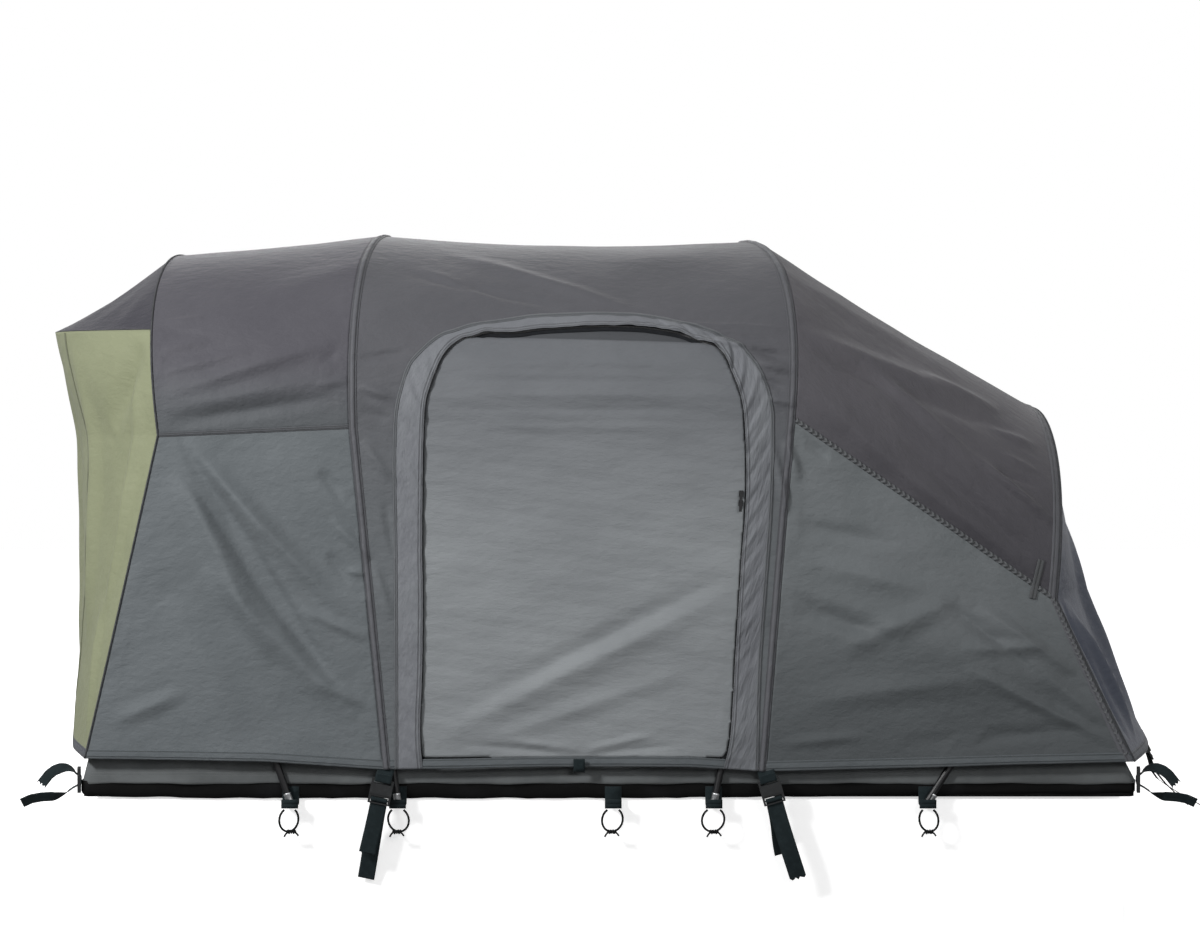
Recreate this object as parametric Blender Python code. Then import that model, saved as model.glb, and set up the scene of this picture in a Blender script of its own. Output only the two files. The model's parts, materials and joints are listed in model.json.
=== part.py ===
"""Roof top tent: a fly sheet on four hoop poles over an inner tent that is sewn to a tub floor.

Metres, +Z up. +X points to the foot end and -Y to the side with the door. The origin is the middle of
the tub's underside, where roof bars carry the tent, so straps and cord loops hang below it.
"""

import math

import bmesh
import bpy
from mathutils import Matrix, Vector

# Tub floor
BASE_LENGTH = 2.40
BASE_WIDTH = 1.30
TUB_HEIGHT = 0.043
TUB_WALL = 0.004
TUB_FLOOR = 0.006
TUB_CORNER = 0.020

# Hoop lines: where the fly's seams and the poles run. Heights are the fly's outer face.
HEAD_HEM = 0.015 - BASE_LENGTH / 2
FOOT_HEM = BASE_LENGTH / 2 - 0.010
HEAD_HOOP = dict(
    foot=-0.722, hem=HEAD_HEM, shoulder=HEAD_HEM + 0.158, crown=HEAD_HEM + 0.125, ridge=HEAD_HEM + 0.128,
    low=0.826, high=1.263,
)
LEFT_HOOP = dict(foot=-0.478, hem=-0.510, shoulder=-0.592, crown=-0.590, ridge=-0.556, low=0.845, high=1.311)
RIGHT_HOOP = dict(foot=0.238, hem=0.355, shoulder=0.424, crown=0.420, ridge=0.340, low=0.862, high=1.297)
FOOT_HOOP = dict(
    foot=0.722, hem=FOOT_HEM, shoulder=FOOT_HEM - 0.168, crown=FOOT_HEM - 0.140, ridge=FOOT_HEM - 0.135,
    low=0.450, high=0.885,
)
MIDDLE_TAB_X = 0.010
ARCH_POWER = 2.2
WALL_LEAN = 0.066
POLE_DIAMETER = 0.016
POLE_STANDOFF = 0.0155
END_HOOP_SETBACK = 0.014
RIGHT_HOOP_SETBACK = 0.005

# Fly sheet
FLY_THICKNESS = 0.002
HEM_HEIGHT = 0.078
HEM_BAND = 0.022
HEM_STANDOFF = 0.026
RIDGE_SAGS = (0.004, 0.018, 0.010)
HEAD_BULGE_HEM = 0.118
HEAD_BULGE_SHOULDER = 0.284
FOOT_BULGE_HEM = 0.125
FOOT_BULGE_SHOULDER = 0.165
BROW_REACH = 0.311
BROW_LAP = 0.0018
BROW_POLE_INSET = 0.014
BROW_HEIGHT = 1.070
BROW_POLE_DIAMETER = 0.009
HEM_CORNER_POWER = 2.2
TOP_CORNER_POWER = 2.6

# Folds pulled into the cloth: from (x, z) to (x, z), then half the fold's width, then its height
HEAD_WALL_FOLDS = (
    ((-1.000, 0.780), (-0.560, 0.290), 0.050, 0.010),
    ((-0.980, 0.560), (-0.640, 0.160), 0.040, 0.006),
)
FOOT_WALL_FOLDS = (
    ((0.520, 0.560), (0.940, 0.180), 0.055, 0.009),
    ((0.640, 0.740), (1.010, 0.520), 0.045, 0.009),
)
MIDDLE_WALL_FOLDS = (((-0.360, 0.170), (0.230, 0.480), 0.060, 0.008),)

# Door, its surround and its zip
DOOR_LEFT = -0.4185
DOOR_RIGHT_LOW = 0.272
DOOR_RIGHT_HIGH = 0.312
DOOR_STRAIGHT_TOP = 0.780
DOOR_SILL = 0.100
DOOR_TOP = 1.077
DOOR_CROWN = 0.022
DOOR_CORNER = (0.100, 0.170)
DOOR_HINGE_GAP = 0.003
DOOR_HINGE_STANDOFF = 0.0005
FLAP_WIDTH = 0.062
FLAP_TOP = 0.031
ZIP_WIDTH = 0.012
SLIDER_SIZE = (0.0104, 0.006, 0.014)
SLIDER_HEIGHTS = (0.694, 0.672)
PULL_SIZE = (0.007, 0.0016, 0.020)
PULL_GAP = 0.0005
HEM_TAB_SIZE = (0.026, 0.0016, 0.030)
HEM_TAB_X = -0.067
HEM_TAB_TOP = 0.096

# Inner tent
INNER_THICKNESS = 0.002
INNER_DROP = 0.036
INNER_REST = 0.0013
INNER_DOOR_LEFT = -0.380
INNER_DOOR_RIGHT = 0.230
INNER_DOOR_SILL = 0.075
INNER_DOOR_TOP = 0.780
INNER_DOOR_CORNER = (0.120, 0.120)
INNER_DOOR_GAP = 0.0008

# Pole-foot tabs and their cord loops
MIDDLE_TAB_X = 0.010
TAB_WIDTH = 0.038
TAB_TOP = 0.030
TAB_THICKNESS = 0.003
TAB_SHELF_TOP = -0.007
TAB_LIP_TOP = 0.004
TAB_LIP_BOTTOM = -0.018
TAB_LIP_STANDOFF = 0.001
CORD_DIAMETER = 0.003
LOOP_RADIUS = 0.027
LOOP_MOUTH = 0.030
LOOP_STEPS = 19

# Webbing and buckles. Depths down a strap are measured from the fly's bottom edge.
WEB_WIDTH = 0.038
WEB_THICKNESS = 0.0016
WEB_FOLD_GAP = 0.0005
STRAP_STANDOFF = 0.0135
WEB_DROP = 0.007
BUCKLE_WIDTH = 0.050
BUCKLE_THICKNESS = 0.012
SOCKET_BAR_DEPTH = 0.028
SOCKET_BAR = (0.0044, 0.004)
SOCKET_SLOT = 0.006
SOCKET_LENGTH = 0.024
POCKET = (0.038, 0.0064, 0.018)
SOCKET_WINDOW = (0.0036, 0.009)
PLUG_BAR_THICKNESS = 0.004
PLUG_HEAD = 0.005
PLUG_SLOT = 0.0055
PLUG_BAR = 0.003
PRONG_WIDTH = 0.008
PRONG_SPREAD = 0.013
PRONG_THICKNESS = 0.005
PRONG_LENGTH = 0.0165
CORNER_LOCK = (0.034, 0.008, 0.056)
CORNER_LOCK_BAR = 0.009
CORNER_WEB_WIDTH = 0.025
CORNER_TURN = 35
LEFT_STRAP_X = -0.503
LEFT_STRAP_TILT = 12
RIGHT_STRAP_X = 0.352
RIGHT_STRAP_TILT = -16
END_STRAP_TILT = 27
FAR_STRAP_LENGTH = 0.170

# Clearances
GAP = 0.0003
SEAM_GAP = 0.0007
RIDGE_SEAM_GAP = 0.0016
CORNER_MARGIN = 0.0027
POLE_CLEARANCE = 0.0006
ZIP_CLEARANCE = 0.0004

# Steps of the curved surfaces
SHOULDER = 0.5
WALL_ROWS = 9
CROWN_ROWS = 7
BAY_COLUMNS = 10
LEG_ROWS = 4
END_COLUMNS = 14
END_ROWS = 8
BROW_STEP = 0.02

HALF_WIDTH = BASE_WIDTH / 2
POLE_RADIUS = POLE_DIAMETER / 2
HOOPS = (HEAD_HOOP, LEFT_HOOP, RIGHT_HOOP, FOOT_HOOP)
WALL_SLOPE = WALL_LEAN / (LEFT_HOOP["low"] - HEM_HEIGHT)


def clear_scene():
    for thing in list(bpy.data.objects):
        bpy.data.objects.remove(thing, do_unlink=True)


def material(name, colour, roughness, metallic=0.0):
    made = bpy.data.materials.new(name)
    made.use_nodes = True
    shader = made.node_tree.nodes["Principled BSDF"]
    shader.inputs["Base Color"].default_value = (*colour, 1.0)
    shader.inputs["Roughness"].default_value = roughness
    shader.inputs["Metallic"].default_value = metallic
    return made


def add_object(name, data, finish, parent=None, place=None):
    made = bpy.data.objects.new(name, data)
    data.materials.append(finish)
    bpy.context.scene.collection.objects.link(made)
    made.parent = parent
    if place is not None:
        made.matrix_local = place
    return made


def mesh_from(shape, name, smooth=False):
    data = bpy.data.meshes.new(name)
    shape.to_mesh(data)
    shape.free()
    if smooth:
        data.shade_smooth()
        data.set_sharp_from_angle(angle=math.radians(35))
    return data


def helper(made):
    """Marks an object as a cutter: it shapes others and isn't part of the tent."""
    made.hide_render = True
    made.display_type = "WIRE"
    return made


def boolean(made, other, operation):
    change = made.modifiers.new(operation.title(), "BOOLEAN")
    change.operation = operation
    change.object = other
    change.solver = "EXACT"


# Skins: the fly, the poles and the inner tent follow the same hoop lines at different depths


class Skin:
    """One layer's half width, the height it starts at, and how far it hangs under the fly's ridge."""

    def __init__(self, half_width, base, drop):
        self.half_width = half_width
        self.base = base
        self.drop = drop


FLY = Skin(HALF_WIDTH + HEM_STANDOFF, HEM_HEIGHT, 0.0)
POLES = Skin(
    HALF_WIDTH + POLE_STANDOFF, TAB_SHELF_TOP, FLY_THICKNESS + POLE_CLEARANCE + POLE_RADIUS
)
INNER = Skin(HALF_WIDTH - TUB_WALL / 2, TUB_HEIGHT + INNER_REST, INNER_DROP)


def hoop_point(hoop, skin, t, bottom="hem"):
    """A point of a hoop line: t is 0 at the near bottom, 0.5 at the shoulder, 1 at the ridge and 2 at
    the far bottom. The leg is straight and the crown is a quarter of a squared-off ellipse."""
    side = -1 if t <= 1 else 1
    t = min(t, 2 - t)
    low = hoop["low"] - skin.drop
    high = hoop["high"] - skin.drop
    if t <= SHOULDER:
        part = t / SHOULDER
        y = skin.half_width - WALL_LEAN * part
        z = skin.base + (low - skin.base) * part
        x = hoop[bottom] + (hoop["shoulder"] - hoop[bottom]) * part
    else:
        part = (t - SHOULDER) / (1 - SHOULDER)
        turn = part * math.pi / 2
        y = (skin.half_width - WALL_LEAN) * max(math.cos(turn), 0.0) ** (2 / ARCH_POWER)
        z = low + (high - low) * math.sin(turn) ** (2 / ARCH_POWER)
        ends = (1 - part) ** 2 * hoop["shoulder"] + part**2 * hoop["ridge"]
        pull = 2 * hoop["crown"] - (hoop["shoulder"] + hoop["ridge"]) / 2
        x = ends + 2 * part * (1 - part) * pull
    return Vector((x, side * y, z))


def fold_height(x, z, folds):
    """How far the folds lift the cloth at (x, z): each is a ridge that fades to both its ends."""
    height = 0.0
    for start, end, half_width, lift in folds:
        start, end, spot = Vector(start), Vector(end), Vector((x, z))
        length = (end - start).length
        along = (spot - start).dot(end - start) / length**2
        if not 0 < along < 1:
            continue
        off = (spot - start.lerp(end, along)).length / half_width
        if off < 1:
            height += lift * math.sin(math.pi * along) * math.cos(math.pi * off / 2) ** 2
    return height


def bay_point(bay, skin, u, t, folds=()):
    """A point of the cloth stretched between hoop number bay and the next one. It sags between them
    along the ridge."""
    point = hoop_point(HOOPS[bay], skin, t).lerp(hoop_point(HOOPS[bay + 1], skin, t), u)
    height = min(t, 2 - t)
    if height > SHOULDER:
        part = (height - SHOULDER) / (1 - SHOULDER)
        point.z -= RIDGE_SAGS[bay] * math.sin(math.pi * u) * math.sin(part * math.pi / 2)
    outward = -1 if t < 1 else 1
    point.y += outward * fold_height(point.x, point.z, folds)
    return point


def wall_spot(bay, x, z, skin):
    """The point of a bay's near wall at (x, z), below the shoulder."""
    u = 0.5
    for _ in range(12):
        low = HOOPS[bay]["low"] + (HOOPS[bay + 1]["low"] - HOOPS[bay]["low"]) * u - skin.drop
        t = SHOULDER * (z - skin.base) / (low - skin.base)
        left = hoop_point(HOOPS[bay], skin, t)
        right = hoop_point(HOOPS[bay + 1], skin, t)
        u = (x - left.x) / (right.x - left.x)
    return left.lerp(right, u)


def between(start, end, steps):
    return [start + (end - start) * step / steps for step in range(steps + 1)]


def grid_shape(us, vs, place):
    """A grid of cloth laid out by place(u, v), with the doubles at its points merged."""
    shape = bmesh.new()
    bmesh.ops.create_grid(shape, x_segments=len(us) - 1, y_segments=len(vs) - 1, size=0.5)
    for vert in shape.verts:
        column = round((vert.co.x + 0.5) * (len(us) - 1))
        row = round((vert.co.y + 0.5) * (len(vs) - 1))
        vert.co = place(us[column], vs[row])
    bmesh.ops.remove_doubles(shape, verts=shape.verts, dist=0.0001)
    return shape


def panel(name, us, vs, place, finish, thickness=FLY_THICKNESS, parent=None):
    """A cloth panel: its outer face from the grid, thickened inwards."""
    made = add_object(name, mesh_from(grid_shape(us, vs, place), name, smooth=True), finish, parent)
    cloth = made.modifiers.new("Cloth", "SOLIDIFY")
    cloth.thickness = thickness
    cloth.offset = -1
    cloth.use_even_offset = True
    return made


def prism(name, outline, near, far):
    """A cutter: an outline of (x, z) points, extruded along Y."""
    shape = bmesh.new()
    corners = [shape.verts.new((x, near, z)) for x, z in outline]
    face = shape.faces.new(corners)
    grown = bmesh.ops.extrude_face_region(shape, geom=[face])
    moved = [item for item in grown["geom"] if isinstance(item, bmesh.types.BMVert)]
    bmesh.ops.translate(shape, verts=moved, vec=(0, far - near, 0))
    bmesh.ops.recalc_face_normals(shape, faces=shape.faces)
    return helper(add_object(name, mesh_from(shape, name), WEBBING))


def block(shape, size, centre, turn=None):
    """A box in a mesh being built."""
    place = Matrix.Translation(centre) @ (turn or Matrix()) @ Matrix.Diagonal((*size, 1))
    return bmesh.ops.create_cube(shape, size=1, matrix=place)


def box_object(name, size, centre, finish, parent=None, bevel=0.0, place=None):
    shape = bmesh.new()
    block(shape, size, Vector(centre))
    made = add_object(name, mesh_from(shape, name), finish, parent, place)
    if bevel:
        edge = made.modifiers.new("Edge", "BEVEL")
        edge.width = bevel
        edge.segments = 1
    return made


def tube(name, points, radius, finish, parent=None, sides=2):
    """A round tube along points, with closed ends."""
    data = bpy.data.curves.new(name, "CURVE")
    data.dimensions = "3D"
    data.bevel_depth = radius
    data.bevel_resolution = sides
    data.use_fill_caps = True
    line = data.splines.new("POLY")
    line.points.add(len(points) - 1)
    for spot, point in zip(line.points, points):
        spot.co = (*point, 1)
    return add_object(name, data, finish, parent)


def ribbon(name, points, across, thickness, finish, parent=None, place=None):
    """Webbing: a line of points drawn out across its width, then thickened both ways."""
    shape = bmesh.new()
    half = Vector(across) / 2
    verts = [shape.verts.new(Vector(point) - half) for point in points]
    edges = [shape.edges.new(pair) for pair in zip(verts, verts[1:])]
    grown = bmesh.ops.extrude_edge_only(shape, edges=edges)
    moved = [item for item in grown["geom"] if isinstance(item, bmesh.types.BMVert)]
    bmesh.ops.translate(shape, verts=moved, vec=across)
    bmesh.ops.recalc_face_normals(shape, faces=shape.faces)
    made = add_object(name, mesh_from(shape, name), finish, parent, place)
    cloth = made.modifiers.new("Cloth", "SOLIDIFY")
    cloth.thickness = thickness
    cloth.offset = 0
    cloth.use_even_offset = True
    return made


clear_scene()

ROOF_CLOTH = material("dark roof cloth", (0.106, 0.104, 0.116), 0.55)
WALL_CLOTH = material("grey wall cloth", (0.118, 0.132, 0.140), 0.60)
DOOR_CLOTH = material("door cloth", (0.190, 0.205, 0.214), 0.60)
OLIVE_CLOTH = material("olive cloth", (0.310, 0.335, 0.205), 0.60)
INNER_CLOTH = material("inner tent cloth", (0.066, 0.072, 0.076), 0.75)
TUB_CLOTH = material("coated tub cloth", (0.008, 0.008, 0.009), 0.45)
WEBBING = material("black webbing", (0.012, 0.018, 0.020), 0.70)
POLE_FINISH = material("black pole", (0.010, 0.010, 0.011), 0.30)
BUCKLE_PLASTIC = material("black buckle plastic", (0.014, 0.019, 0.022), 0.40)
ZIP_FINISH = material("zip", (0.020, 0.020, 0.022), 0.50)
CORD_FINISH = material("black cord", (0.010, 0.011, 0.012), 0.70)


# Tub floor: an open tray of coated cloth, with the pole-foot tabs sewn to its near and far edges

SIDES = (("near", -1), ("far", 1))
TAB_XS = tuple(hoop["foot"] for hoop in HOOPS) + (MIDDLE_TAB_X,)
TAB_FACE = HALF_WIDTH + HEM_STANDOFF + TAB_LIP_STANDOFF


def tub_shape():
    shape = bmesh.new()
    block(shape, (BASE_LENGTH, BASE_WIDTH, TUB_HEIGHT), Vector((0, 0, TUB_HEIGHT / 2)))
    upright = [edge for edge in shape.edges if abs(edge.verts[0].co.z - edge.verts[1].co.z) > TUB_WALL]
    bmesh.ops.bevel(
        shape, geom=upright, offset=TUB_CORNER, affect="EDGES", segments=3, profile=0.5, material=-1
    )
    top = max(shape.faces, key=lambda face: face.calc_center_median().z)
    bmesh.ops.inset_region(shape, faces=[top], thickness=TUB_WALL, use_even_offset=True)
    sunk = bmesh.ops.extrude_face_region(shape, geom=[top])
    moved = [item for item in sunk["geom"] if isinstance(item, bmesh.types.BMVert)]
    bmesh.ops.delete(shape, geom=[top], context="FACES_ONLY")
    bmesh.ops.translate(shape, verts=moved, vec=(0, 0, TUB_FLOOR - TUB_HEIGHT))
    bmesh.ops.recalc_face_normals(shape, faces=shape.faces)
    return mesh_from(shape, "tub_floor")


def tab_shape(name, x, side):
    """A pole-foot tab: a strip on the tub's wall, a shelf under the pole and a lip in front of it."""
    root = HALF_WIDTH - TUB_WALL / 2
    wall = HALF_WIDTH + TAB_THICKNESS
    lip = TAB_FACE - TAB_THICKNESS
    shelf_low = TAB_SHELF_TOP - TAB_THICKNESS
    profile = (
        (root, TAB_TOP),
        (wall, TAB_TOP),
        (wall, TAB_SHELF_TOP),
        (lip, TAB_SHELF_TOP),
        (lip, TAB_LIP_TOP),
        (TAB_FACE, TAB_LIP_TOP),
        (TAB_FACE, TAB_LIP_BOTTOM),
        (lip, TAB_LIP_BOTTOM),
        (lip, shelf_low),
        (HALF_WIDTH + GAP, shelf_low),
        (HALF_WIDTH + GAP, TUB_FLOOR / 2),
        (root, TUB_FLOOR / 2),
    )
    shape = bmesh.new()
    corners = [shape.verts.new((x - TAB_WIDTH / 2, side * y, z)) for y, z in profile]
    face = shape.faces.new(corners)
    grown = bmesh.ops.extrude_face_region(shape, geom=[face])
    moved = [item for item in grown["geom"] if isinstance(item, bmesh.types.BMVert)]
    bmesh.ops.translate(shape, verts=moved, vec=(TAB_WIDTH, 0, 0))
    bmesh.ops.recalc_face_normals(shape, faces=shape.faces)
    return mesh_from(shape, name)


def add_tub():
    tub = add_object("tub_floor", tub_shape(), TUB_CLOTH)
    for number, x in enumerate(TAB_XS):
        for side_name, side in SIDES:
            name = f"tab_{side_name}_{number}"
            boolean(tub, helper(add_object(name, tab_shape(name, x, side), WEBBING)), "UNION")


# Hoop poles: black tubes whose feet stand in the tabs, with straight legs and a bent crown

# Each pole's name, its hoop, the bay its legs lean into, and how far it's set back from an end seam
POLE_PLAN = (
    ("pole_head", HEAD_HOOP, 0, END_HOOP_SETBACK),
    ("pole_door_left", LEFT_HOOP, 1, 0.0),
    ("pole_door_right", RIGHT_HOOP, 1, -RIGHT_HOOP_SETBACK),
    ("pole_foot", FOOT_HOOP, 2, -END_HOOP_SETBACK),
)


def pole_line(hoop, bay, setback):
    """Centre line of one hoop pole from its near foot to its far foot."""
    crown = between(SHOULDER, 2 - SHOULDER, 2 * CROWN_ROWS)
    points = [hoop_point(hoop, POLES, t) + Vector((setback, 0, 0)) for t in crown]
    knee = points[0]
    leg = []
    for part in between(0.0, 1.0, LEG_ROWS)[:-1]:
        x = hoop["foot"] + (knee.x - hoop["foot"]) * part
        z = TAB_SHELF_TOP + (knee.z - TAB_SHELF_TOP) * part
        leg.append(wall_spot(bay, x, z, POLES))
    lean = leg[1] - leg[0]
    leg[0].z += POLE_RADIUS * math.hypot(lean.x, lean.y) / lean.length + GAP
    far = [Vector((point.x, -point.y, point.z)) for point in reversed(leg)]
    return [*leg, *points, *far]


def add_poles():
    for name, hoop, bay, setback in POLE_PLAN:
        tube(name, pole_line(hoop, bay, setback), POLE_RADIUS, POLE_FINISH, sides=4)


# Fly sheet: the panels between the hoops


def bay_us(bay):
    """Columns of a bay, held clear of its neighbours: most where they meet it at a corner, and more
    where the roof bends over the right door hoop than over the left one."""
    across = abs(HOOPS[bay + 1]["shoulder"] - HOOPS[bay]["shoulder"])
    margins = (CORNER_MARGIN, SEAM_GAP / 2, RIDGE_SEAM_GAP / 2, CORNER_MARGIN)
    return between(margins[bay] / across, 1 - margins[bay + 1] / across, BAY_COLUMNS)


def seam_step(bay):
    """Half a seam's gap at the lower of a bay's two shoulders, as a step of t."""
    low = min(HOOPS[bay]["low"], HOOPS[bay + 1]["low"])
    return SEAM_GAP / 2 * SHOULDER / (low - HEM_HEIGHT)


def crown_ts(bay):
    step = seam_step(bay)
    rows = between(SHOULDER, 2 - SHOULDER, 2 * CROWN_ROWS)
    return [rows[0] + step, *rows[1:-1], rows[-1] - step]


def wall_ts(bay, side):
    rows = between(0.0, SHOULDER - seam_step(bay), WALL_ROWS)
    return rows if side < 0 else [2 - t for t in reversed(rows)]


def add_roof_and_walls():
    for bay, end, folds in ((0, "head", HEAD_WALL_FOLDS), (2, "foot", FOOT_WALL_FOLDS)):

        def place(u, t):
            return bay_point(bay, FLY, u, t, folds)

        panel(f"roof_{end}", bay_us(bay), crown_ts(bay), place, ROOF_CLOTH)
        for side_name, side in SIDES:
            panel(f"wall_{end}_{side_name}", bay_us(bay), wall_ts(bay, side), place, WALL_CLOTH)

    def middle(u, t):
        return bay_point(1, FLY, u, t)

    panel("wall_middle_far", bay_us(1), wall_ts(1, 1), middle, WALL_CLOTH)


def end_place(hoop, bulges, top_t, outward):
    """A rule for an end panel: s runs across the tent from 1 to -1, and v up its edge from 0 to 1. The
    bulges are how far it stands out at the hem, at the shoulder and at the top."""
    hem, shoulder, top = bulges

    def place(s, v):
        t = v * top_t
        edge = hoop_point(hoop, FLY, t)
        if t < SHOULDER:
            bulge = hem + (shoulder - hem) * t / SHOULDER
        else:
            left = (top_t - t) / (top_t - SHOULDER)
            bulge = top + (shoulder - top) * left**2
        power = HEM_CORNER_POWER + (TOP_CORNER_POWER - HEM_CORNER_POWER) * math.sqrt(v)
        out = bulge * (1 - abs(s) ** power)
        return Vector((edge.x + outward * out, -edge.y * s, edge.z))

    return place


def brow_t():
    """Where the brow starts on the head hoop: t at the brow's height."""
    rise = (BROW_HEIGHT - HEAD_HOOP["low"]) / (HEAD_HOOP["high"] - HEAD_HOOP["low"])
    turn = math.asin(rise ** (ARCH_POWER / 2))
    return SHOULDER + (1 - SHOULDER) * turn / (math.pi / 2)


def brow_rim(s):
    """The brow's rim: a level arch from the far side of the head hoop, out and back to the near one."""
    start = hoop_point(HEAD_HOOP, FLY, brow_t())
    out = BROW_REACH * (1 - abs(s) ** TOP_CORNER_POWER)
    return Vector((start.x - out, -start.y * s, start.z))


def add_ends():
    across = between(1.0, -1.0, END_COLUMNS)
    start = brow_t()
    top_v = 1 - 1.65 * FLY_THICKNESS / (BROW_HEIGHT - HEM_HEIGHT)
    place = end_place(HEAD_HOOP, (HEAD_BULGE_HEM, HEAD_BULGE_SHOULDER, BROW_REACH), start, -1)
    panel("end_panel_head", across, between(0.0, top_v, END_ROWS), place, OLIVE_CLOTH)

    def brow_back(s):
        return hoop_point(HEAD_HOOP, FLY, 1 + s * (1 - start)) + Vector((BROW_LAP, 0, 0))

    def brow_place(s, v):
        return brow_rim(s).lerp(brow_back(s), v)

    panel("brow", across, between(0.0, 1.0, END_ROWS // 2), brow_place, ROOF_CLOTH)
    deep = FLY_THICKNESS + POLE_CLEARANCE + BROW_POLE_DIAMETER / 2
    rim = []
    for s in across[1:-1]:
        v = BROW_POLE_INSET / (brow_back(s) - brow_rim(s)).length
        along = brow_place(s - BROW_STEP, v) - brow_place(s + BROW_STEP, v)
        normal = along.cross(brow_place(s, v + BROW_STEP) - brow_place(s, v)).normalized()
        rim.append(brow_place(s, v) - normal * math.copysign(deep, normal.z))
    tube("pole_brow", rim, BROW_POLE_DIAMETER / 2, POLE_FINISH)
    place = end_place(FOOT_HOOP, (FOOT_BULGE_HEM, FOOT_BULGE_SHOULDER, 0.0), 1.0, 1)
    panel(
        "end_panel_foot",
        between(-1.0, 1.0, END_COLUMNS),
        between(0.0, 1.0, 2 * END_ROWS),
        place,
        WALL_CLOTH,
    )


# Door bay: one shell cut into the roof, the storm flap round the door, the zip and the door itself


def arch_outline(grow, sill, left, right_low, right_high, top, crown, corner):
    """An arched outline in (x, z): straight sides, rounded top corners and a slightly raised top."""
    left, right_low, right_high = left - grow, right_low + grow, right_high + grow
    spring = top + grow - crown
    wide, high = corner
    points = [(left, sill)]
    for turn in between(0.0, math.pi / 2, 6):
        points.append((left + wide * (1 - math.cos(turn)), spring - high * (1 - math.sin(turn))))
    span = right_high - left - 2 * wide
    for step in (0.25, 0.5, 0.75):
        points.append((left + wide + span * step, spring + crown * 4 * step * (1 - step)))
    for turn in between(math.pi / 2, 0.0, 6):
        points.append((right_high - wide * (1 - math.cos(turn)), spring - high * (1 - math.sin(turn))))
    slope = (right_high - right_low) / (DOOR_STRAIGHT_TOP - DOOR_SILL)
    points.append((right_high, DOOR_STRAIGHT_TOP))
    points.append((right_low - slope * max(DOOR_SILL - sill, 0.0), sill))
    return points


def door_prism(name, grow, sill):
    """A cutter along the door's outline, grown by some amount, through the near side only."""
    outline = arch_outline(
        grow, sill, DOOR_LEFT, DOOR_RIGHT_LOW, DOOR_RIGHT_HIGH, DOOR_TOP, DOOR_CROWN, DOOR_CORNER
    )
    return prism(name, outline, -BASE_WIDTH, -GAP)


def flap_prism(name, grow):
    """A cutter along the storm flap's outer edge, open below the hem."""
    outline = arch_outline(
        grow,
        -HEM_HEIGHT,
        DOOR_LEFT - FLAP_WIDTH,
        DOOR_RIGHT_LOW + FLAP_WIDTH,
        DOOR_RIGHT_HIGH + FLAP_WIDTH,
        DOOR_TOP + FLAP_TOP,
        DOOR_CROWN,
        (DOOR_CORNER[0] + FLAP_TOP, DOOR_CORNER[1] + FLAP_TOP),
    )
    return prism(name, outline, -BASE_WIDTH, -GAP)


def door_bay_panel(name, finish):
    """A copy of the whole near side and roof of the door bay, to be cut down to one piece."""
    wall = between(0.0, SHOULDER, WALL_ROWS)
    rows = [*wall[:-1], *between(SHOULDER, 2 - SHOULDER, 2 * CROWN_ROWS)]
    rows[-1] -= seam_step(1)

    def place(u, t):
        return bay_point(1, FLY, u, t, MIDDLE_WALL_FOLDS)

    return panel(name, bay_us(1), rows, place, finish)


def add_door_bay():
    roof = door_bay_panel("roof_middle", ROOF_CLOTH)
    boolean(roof, flap_prism("cut_roof", SEAM_GAP), "DIFFERENCE")
    flap = door_bay_panel("storm_flap", WALL_CLOTH)
    boolean(flap, flap_prism("keep_flap", 0.0), "INTERSECT")
    boolean(flap, door_prism("cut_flap", 0.0, DOOR_SILL), "DIFFERENCE")
    track = door_bay_panel("zip_track", ZIP_FINISH)
    low = DOOR_SILL + GAP
    boolean(track, door_prism("keep_track", -ZIP_CLEARANCE, low), "INTERSECT")
    inside = -ZIP_WIDTH + ZIP_CLEARANCE
    boolean(track, door_prism("cut_track", inside, DOOR_SILL - HEM_BAND), "DIFFERENCE")
    hinge = wall_spot(1, (DOOR_LEFT + DOOR_RIGHT_LOW) / 2, DOOR_SILL + DOOR_HINGE_GAP, FLY)
    axis = bpy.data.objects.new("door_hinge", None)
    bpy.context.scene.collection.objects.link(axis)
    axis.location = (0, hinge.y - DOOR_HINGE_STANDOFF, hinge.z)
    door = door_bay_panel("door_panel", DOOR_CLOTH)
    door.parent = axis
    door.matrix_parent_inverse = Matrix.Translation(-axis.location)
    boolean(door, door_prism("keep_door", -ZIP_WIDTH, hinge.z), "INTERSECT")


def track_frame(height):
    """Where the zip runs at a height on the door's straight right edge, with local Z along the zip."""
    low, high = DOOR_SILL + ZIP_WIDTH, DOOR_STRAIGHT_TOP

    def spot(z):
        part = (z - DOOR_SILL) / (DOOR_STRAIGHT_TOP - DOOR_SILL)
        x = DOOR_RIGHT_LOW + (DOOR_RIGHT_HIGH - DOOR_RIGHT_LOW) * part - ZIP_WIDTH / 2
        return wall_spot(1, x, z, FLY)

    start, end = spot(low), spot(high)
    up = (end - start).normalized()
    across = Vector((1, 0, 0))
    across = (across - up * across.dot(up)).normalized()
    inward = up.cross(across)
    turn = Matrix((across, inward, up)).transposed().to_4x4()
    return Matrix.Translation(spot(height)) @ turn


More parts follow.
